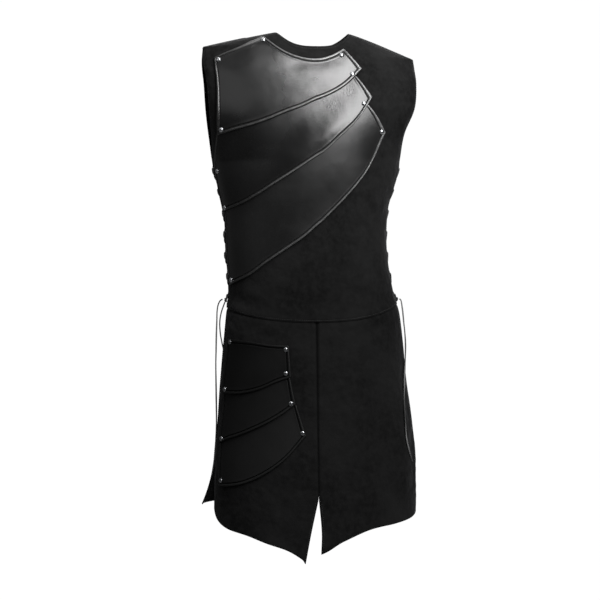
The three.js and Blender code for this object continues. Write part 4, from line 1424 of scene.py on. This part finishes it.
def stitch_rows(name, lines):
    """Rows of small sewn stitches, each a low spindle lying on the cloth."""
    wide, high = STITCH["half_width"], STITCH["height"]
    section = ((wide, -0.1), (wide * 0.5, high), (-wide * 0.5, high), (-wide, -0.1))
    points, faces = [], []
    for line, normals in lines:
        run = run_along(line)
        for index in range(int(run[-1] / STITCH["pitch"])):
            start = index * STITCH["pitch"] + STITCH["first"]
            end = start + STITCH["length"]
            a, b = (point_at(run, at, line) for at in (start, end))
            length = np.linalg.norm(b - a)
            if length < 1:
                continue
            normal = unit(point_at(run, start, normals) + point_at(run, end, normals))
            side = np.cross(normal, (b - a) / length)
            first = len(points)
            last = first + 9
            points.append(a - normal * 0.15)
            for share in (0.2, 0.8):
                middle = a + (b - a) * share
                points.extend(middle + side * out + normal * up for out, up in section)
            points.append(b - normal * 0.15)
            for k in range(4):
                after = (k + 1) % 4
                faces.append((first, first + 1 + after, first + 1 + k))
                faces.append((first + 1 + k, first + 1 + after, first + 5 + after, first + 5 + k))
                faces.append((last, first + 5 + k, first + 5 + after))
    piece = mesh_piece(name, points, faces)
    face_outwards(piece)
    bpy.ops.object.shade_smooth()
    finish_piece(piece, "thread")


def line_beside(lines, normals, distance):
    """The points and normals at one distance along each of several lines."""
    runs = [run_along(line) for line in lines]
    return [
        np.array([point_at(run, distance, line) for run, line in zip(runs, part)])
        for part in (lines, normals)
    ]


def row_line(grid, normals, distance, at_top):
    """A line across a panel at a distance from its top or foot."""
    step = -1 if at_top else 1
    return line_beside(grid[::step].swapaxes(0, 1), normals[::step].swapaxes(0, 1), distance)


def column_line(grid, normals, distance, at_end, low=-math.inf, high=math.inf):
    """A line up a panel at a distance from one side edge, between two heights."""
    step = -1 if at_end else 1
    lines = grid[:, ::step]
    kept = [row for row, line in enumerate(lines) if low <= -line[0][2] <= high]
    return line_beside(lines[kept], normals[:, ::step][kept], distance)


# ---- Studio ----

# A tall softbox high on the wearer's left, a weak one low on the right, and light from above and
# behind.
STUDIO = rows(
    "name place aim size power",
    ("key", (0.76, -1.85, 1.3), (0.0, -0.1, -0.25), (1.1, 2.4), 112),
    ("fill", (-1.9, -1.6, 1.3), (0.0, 0.0, -0.2), (2.6, 1.8), 10),
    ("top", (0.0, 0.7, 2.4), (0.0, 0.0, -0.5), (2.5, 1.6), 22),
    ("back", (0.8, 3.2, 1.4), (0.0, 0.0, -0.5), (2.4, 2.0), 85),
)
CAMERA = {
    "lens": 102, "film": 36, "place": (-0.473, -3.367, -0.378), "aim": (-0.0218, 0.0031, -0.528),
}
BACKDROP = {"size": (16, 14, 1), "centre": (0, -2.0, -1.45), "wall": 7, "sweep": 1.6}
DARK_ROOM = 0.1


def place_facing(name, data, place, aim):
    """Hangs a lamp or a camera at a place, turned to face another."""
    thing = bpy.data.objects.new(name, data)
    bpy.context.scene.collection.objects.link(thing)
    thing.location = place
    thing.rotation_euler = (Vector(aim) - Vector(place)).to_track_quat("-Z", "Y").to_euler()
    return thing


def make_backdrop():
    """A pale floor that sweeps up into a wall behind the vest."""
    deselect()
    bpy.ops.mesh.primitive_plane_add(size=1)
    floor = bpy.context.object
    floor.name = "backdrop"
    edit_all()
    bpy.ops.transform.resize(value=BACKDROP["size"])
    bpy.ops.transform.translate(value=BACKDROP["centre"])
    bpy.ops.mesh.select_all(action="DESELECT")
    leave_edit()
    for edge in floor.data.edges:
        edge.select = all(floor.data.vertices[corner].co.y > 2 for corner in edge.vertices)
    bpy.ops.object.mode_set(mode="EDIT")
    bpy.ops.mesh.select_mode(type="EDGE")
    bpy.ops.mesh.extrude_region_move(TRANSFORM_OT_translate={"value": (0, 0, BACKDROP["wall"])})
    leave_edit()
    bend = floor.modifiers.new("sweep", "BEVEL")
    bend.width = BACKDROP["sweep"]
    bend.segments = 16
    apply_modifiers(floor)
    bpy.ops.object.shade_smooth()
    floor.data.materials.append(paper_material())


def studio_world():
    """White to look at, and dim where it lights and is mirrored."""
    world = bpy.data.worlds.new("studio")
    world.use_nodes = True
    n = Nodes(world.node_tree)
    dim = world.node_tree.nodes["Background"]
    n.fill(dim, {"Color": (0.97, 0.98, 1.0, 1), "Strength": DARK_ROOM})
    white = n.add("ShaderNodeBackground", {"Color": (1, 1, 1, 1), "Strength": 1.1})
    seen = n.add("ShaderNodeLightPath").outputs["Is Camera Ray"]
    surface = world.node_tree.nodes["World Output"].inputs["Surface"]
    n.put(surface, n.mixed(seen, dim, white))
    return world


# ---- What the panel in the sidebar offers ----

def length_property(name, words, value):
    return FloatProperty(name=name, description=words, default=value, unit="LENGTH")


def colour_property(name, words, value):
    return FloatVectorProperty(
        name=name, description=words, default=(*value, 1.0), size=4, min=0, max=1, subtype="COLOR",
    )


def grey(value):
    return (value, value, value)


class VestSizes(bpy.types.PropertyGroup):
    """Sizes of the garment's cloth and fittings."""

    suede_wall: length_property("Suede", "Thickness of the suede", 0.002)
    plate_wall: length_property("Plate", "Thickness of the leather plates", 0.0026)
    rivet_radius: length_property("Rivet radius", "Radius of a rivet's head", 0.005)
    rivet_height: length_property("Rivet height", "Height of a rivet's head", 0.003)
    lace_diameter: length_property("Lace", "Diameter of the laces", 0.003)


class VestColours(bpy.types.PropertyGroup):
    """Colours of the garment's materials."""

    suede: colour_property("Suede", "Colour of the suede's nap", grey(0.006))
    chest_leather: colour_property("Chest leather", "Colour of the chest plates", grey(0.004))
    hip_leather: colour_property("Hip leather", "Colour of the hip plates", grey(0.0038))
    nickel: colour_property("Nickel", "Colour of the rivets", (0.62, 0.63, 0.65))
    lace: colour_property("Lace", "Colour of the lace's dyed side", grey(0.02))
    thread: colour_property("Thread", "Colour of the sewing thread", grey(0.012))


def lay_plates(area):
    for name in PLATES:
        if area_of(name) == area:
            make_plate(name)


class VEST_OT_lace_ends(bpy.types.Operator):
    """Hang the free ends of both laces from their knots"""

    bl_idname = "vest.lace_ends"
    bl_label = "Lace ends"

    def execute(self, context):
        for name in FREE_ENDS:
            make_lace_end(name)
        return {"FINISHED"}


class VEST_OT_stage(bpy.types.Operator):
    """Lay the pale backdrop, set the camera and hang the soft lights"""

    bl_idname = "vest.stage"
    bl_label = "Stage"

    def execute(self, context):
        lens = bpy.data.cameras.new("studio_camera")
        lens.lens = CAMERA["lens"]
        lens.sensor_width = CAMERA["film"]
        camera = place_facing("studio_camera", lens, CAMERA["place"], CAMERA["aim"])
        context.scene.camera = camera
        context.scene.view_settings.view_transform = "Standard"
        make_backdrop()
        context.scene.world = studio_world()
        for light in STUDIO:
            lamp = bpy.data.lights.new(light["name"], "AREA")
            lamp.shape = "RECTANGLE"
            lamp.size, lamp.size_y = light["size"]
            lamp.energy = light["power"]
            place_facing(light["name"], lamp, light["place"], light["aim"])
        return {"FINISHED"}


class VEST_OT_body_panels(bpy.types.Operator):
    """Shape the front and back body panels in suede"""

    bl_idname = "vest.body_panels"
    bl_label = "Body panels"

    def execute(self, context):
        for face in FACES:
            name = f"{face}_body"
            grid, turns = body_grid(face)
            piece, laid, normals = shell(name, grid, turns, body_fold)
            punch_eyelets(piece, grid)
            piece.name = f"suede_{name}"
            finish_piece(piece, "suede", name)
            cloth = (laid, normals)
            lines = [row_line(*cloth, SEWN["waist"], False), row_line(*cloth, SEWN["neck"], True)]
            for at_end in (False, True):
                lines.append(column_line(*cloth, SEWN["armhole"], at_end, *ARMHOLE_ROW))
                lines.append(column_line(*cloth, SEWN["lacing"], at_end, *LACING_ROW))
            stitch_rows(f"sewing_{name}", lines)
        return {"FINISHED"}


class VEST_OT_skirt_panels(bpy.types.Operator):
    """Shape the three skirt panels in suede"""

    bl_idname = "vest.skirt_panels"
    bl_label = "Skirt panels"

    def execute(self, context):
        for name, (grid, turns), fold, joined in (
            ("skirt_front_right", front_skirt_grid("right"), seamed("right"), "end"),
            ("skirt_front_left", front_skirt_grid("left"), seamed("left"), "start"),
            ("skirt_back", back_skirt_grid(), skirt_fold, None),
        ):
            piece, *cloth = shell(name, grid, turns, fold, joined)
            piece.name = f"suede_{name}"
            finish_piece(piece, "suede", name)
            if joined:
                lines = [column_line(*cloth, SEWN["vent"], joined == "end", *VENT_ROW)]
            else:
                lines = [column_line(*cloth, SEWN["side"], at_end) for at_end in (False, True)]
            stitch_rows(f"sewing_{name}", lines)
        return {"FINISHED"}


class VEST_OT_chest_plates(bpy.types.Operator):
    """Lay the three overlapping chest plates"""

    bl_idname = "vest.chest_plates"
    bl_label = "Chest plates"

    def execute(self, context):
        lay_plates("chest")
        return {"FINISHED"}


class VEST_OT_hip_plates(bpy.types.Operator):
    """Lay the three overlapping hip plates"""

    bl_idname = "vest.hip_plates"
    bl_label = "Hip plates"

    def execute(self, context):
        lay_plates("hip")
        return {"FINISHED"}


class VEST_OT_rivets(bpy.types.Operator):
    """Set a domed rivet at each of the plates' fixings"""

    bl_idname = "vest.rivets"
    bl_label = "Rivets"

    def execute(self, context):
        model = rivet_form()
        wall = context.scene.vest_sizes.plate_wall / MM
        for plate, fixings in RIVETS.items():
            for label, turn, down in fixings:
                name = f"rivet_{plate.replace('plate_', '')}_{label}"
                at, normal = surface_frame(turn, down)
                stand = foot_lift(plate, foot_distance(plate, at)) + wall + RIVET_GAP
                rivet = stood_copy(model, at + normal * stand, normal)
                rivet.name = f"{name}_dome"
                settle(rivet)
                finish_piece(rivet, "nickel", name)
        bpy.data.objects.remove(model)
        return {"FINISHED"}


class VEST_OT_side_lacing(bpy.types.Operator):
    """Thread a lace up each side, through its bound eyelets, and knot it at the waist"""

    bl_idname = "vest.side_lacing"
    bl_label = "Side lacing"

    def execute(self, context):
        grids = {face: body_grid(face)[0] for face in FACES}
        for side in OUTWARD:
            make_lacing(side, grids)
            make_eyelets(side, grids)
        return {"FINISHED"}


OPERATORS = (
    VEST_OT_lace_ends,
    VEST_OT_stage,
    VEST_OT_body_panels,
    VEST_OT_skirt_panels,
    VEST_OT_chest_plates,
    VEST_OT_hip_plates,
    VEST_OT_rivets,
    VEST_OT_side_lacing,
)


class VEST_PT_sidebar(bpy.types.Panel):
    """The vest's steps, in the 3D view's sidebar"""

    bl_idname = "VEST_PT_sidebar"
    bl_label = "Renaissance vest"
    bl_space_type = "VIEW_3D"
    bl_region_type = "UI"
    bl_category = "Vest"

    def draw(self, context):
        for group in (context.scene.vest_sizes, context.scene.vest_colours):
            box = self.layout.box()
            for name in group.__annotations__:
                box.prop(group, name)
        for operator in OPERATORS:
            self.layout.operator(operator.bl_idname)


CLASSES = (VestSizes, VestColours, *OPERATORS, VEST_PT_sidebar)


def register():
    for item in CLASSES:
        bpy.utils.register_class(item)
    bpy.types.Scene.vest_sizes = PointerProperty(type=VestSizes)
    bpy.types.Scene.vest_colours = PointerProperty(type=VestColours)


def unregister():
    del bpy.types.Scene.vest_colours
    del bpy.types.Scene.vest_sizes
    for item in reversed(CLASSES):
        bpy.utils.unregister_class(item)


def main():
    register()
    for operator in OPERATORS:
        group, name = operator.bl_idname.split(".")
        getattr(getattr(bpy.ops, group), name)()


if __name__ == "__main__":
    main()
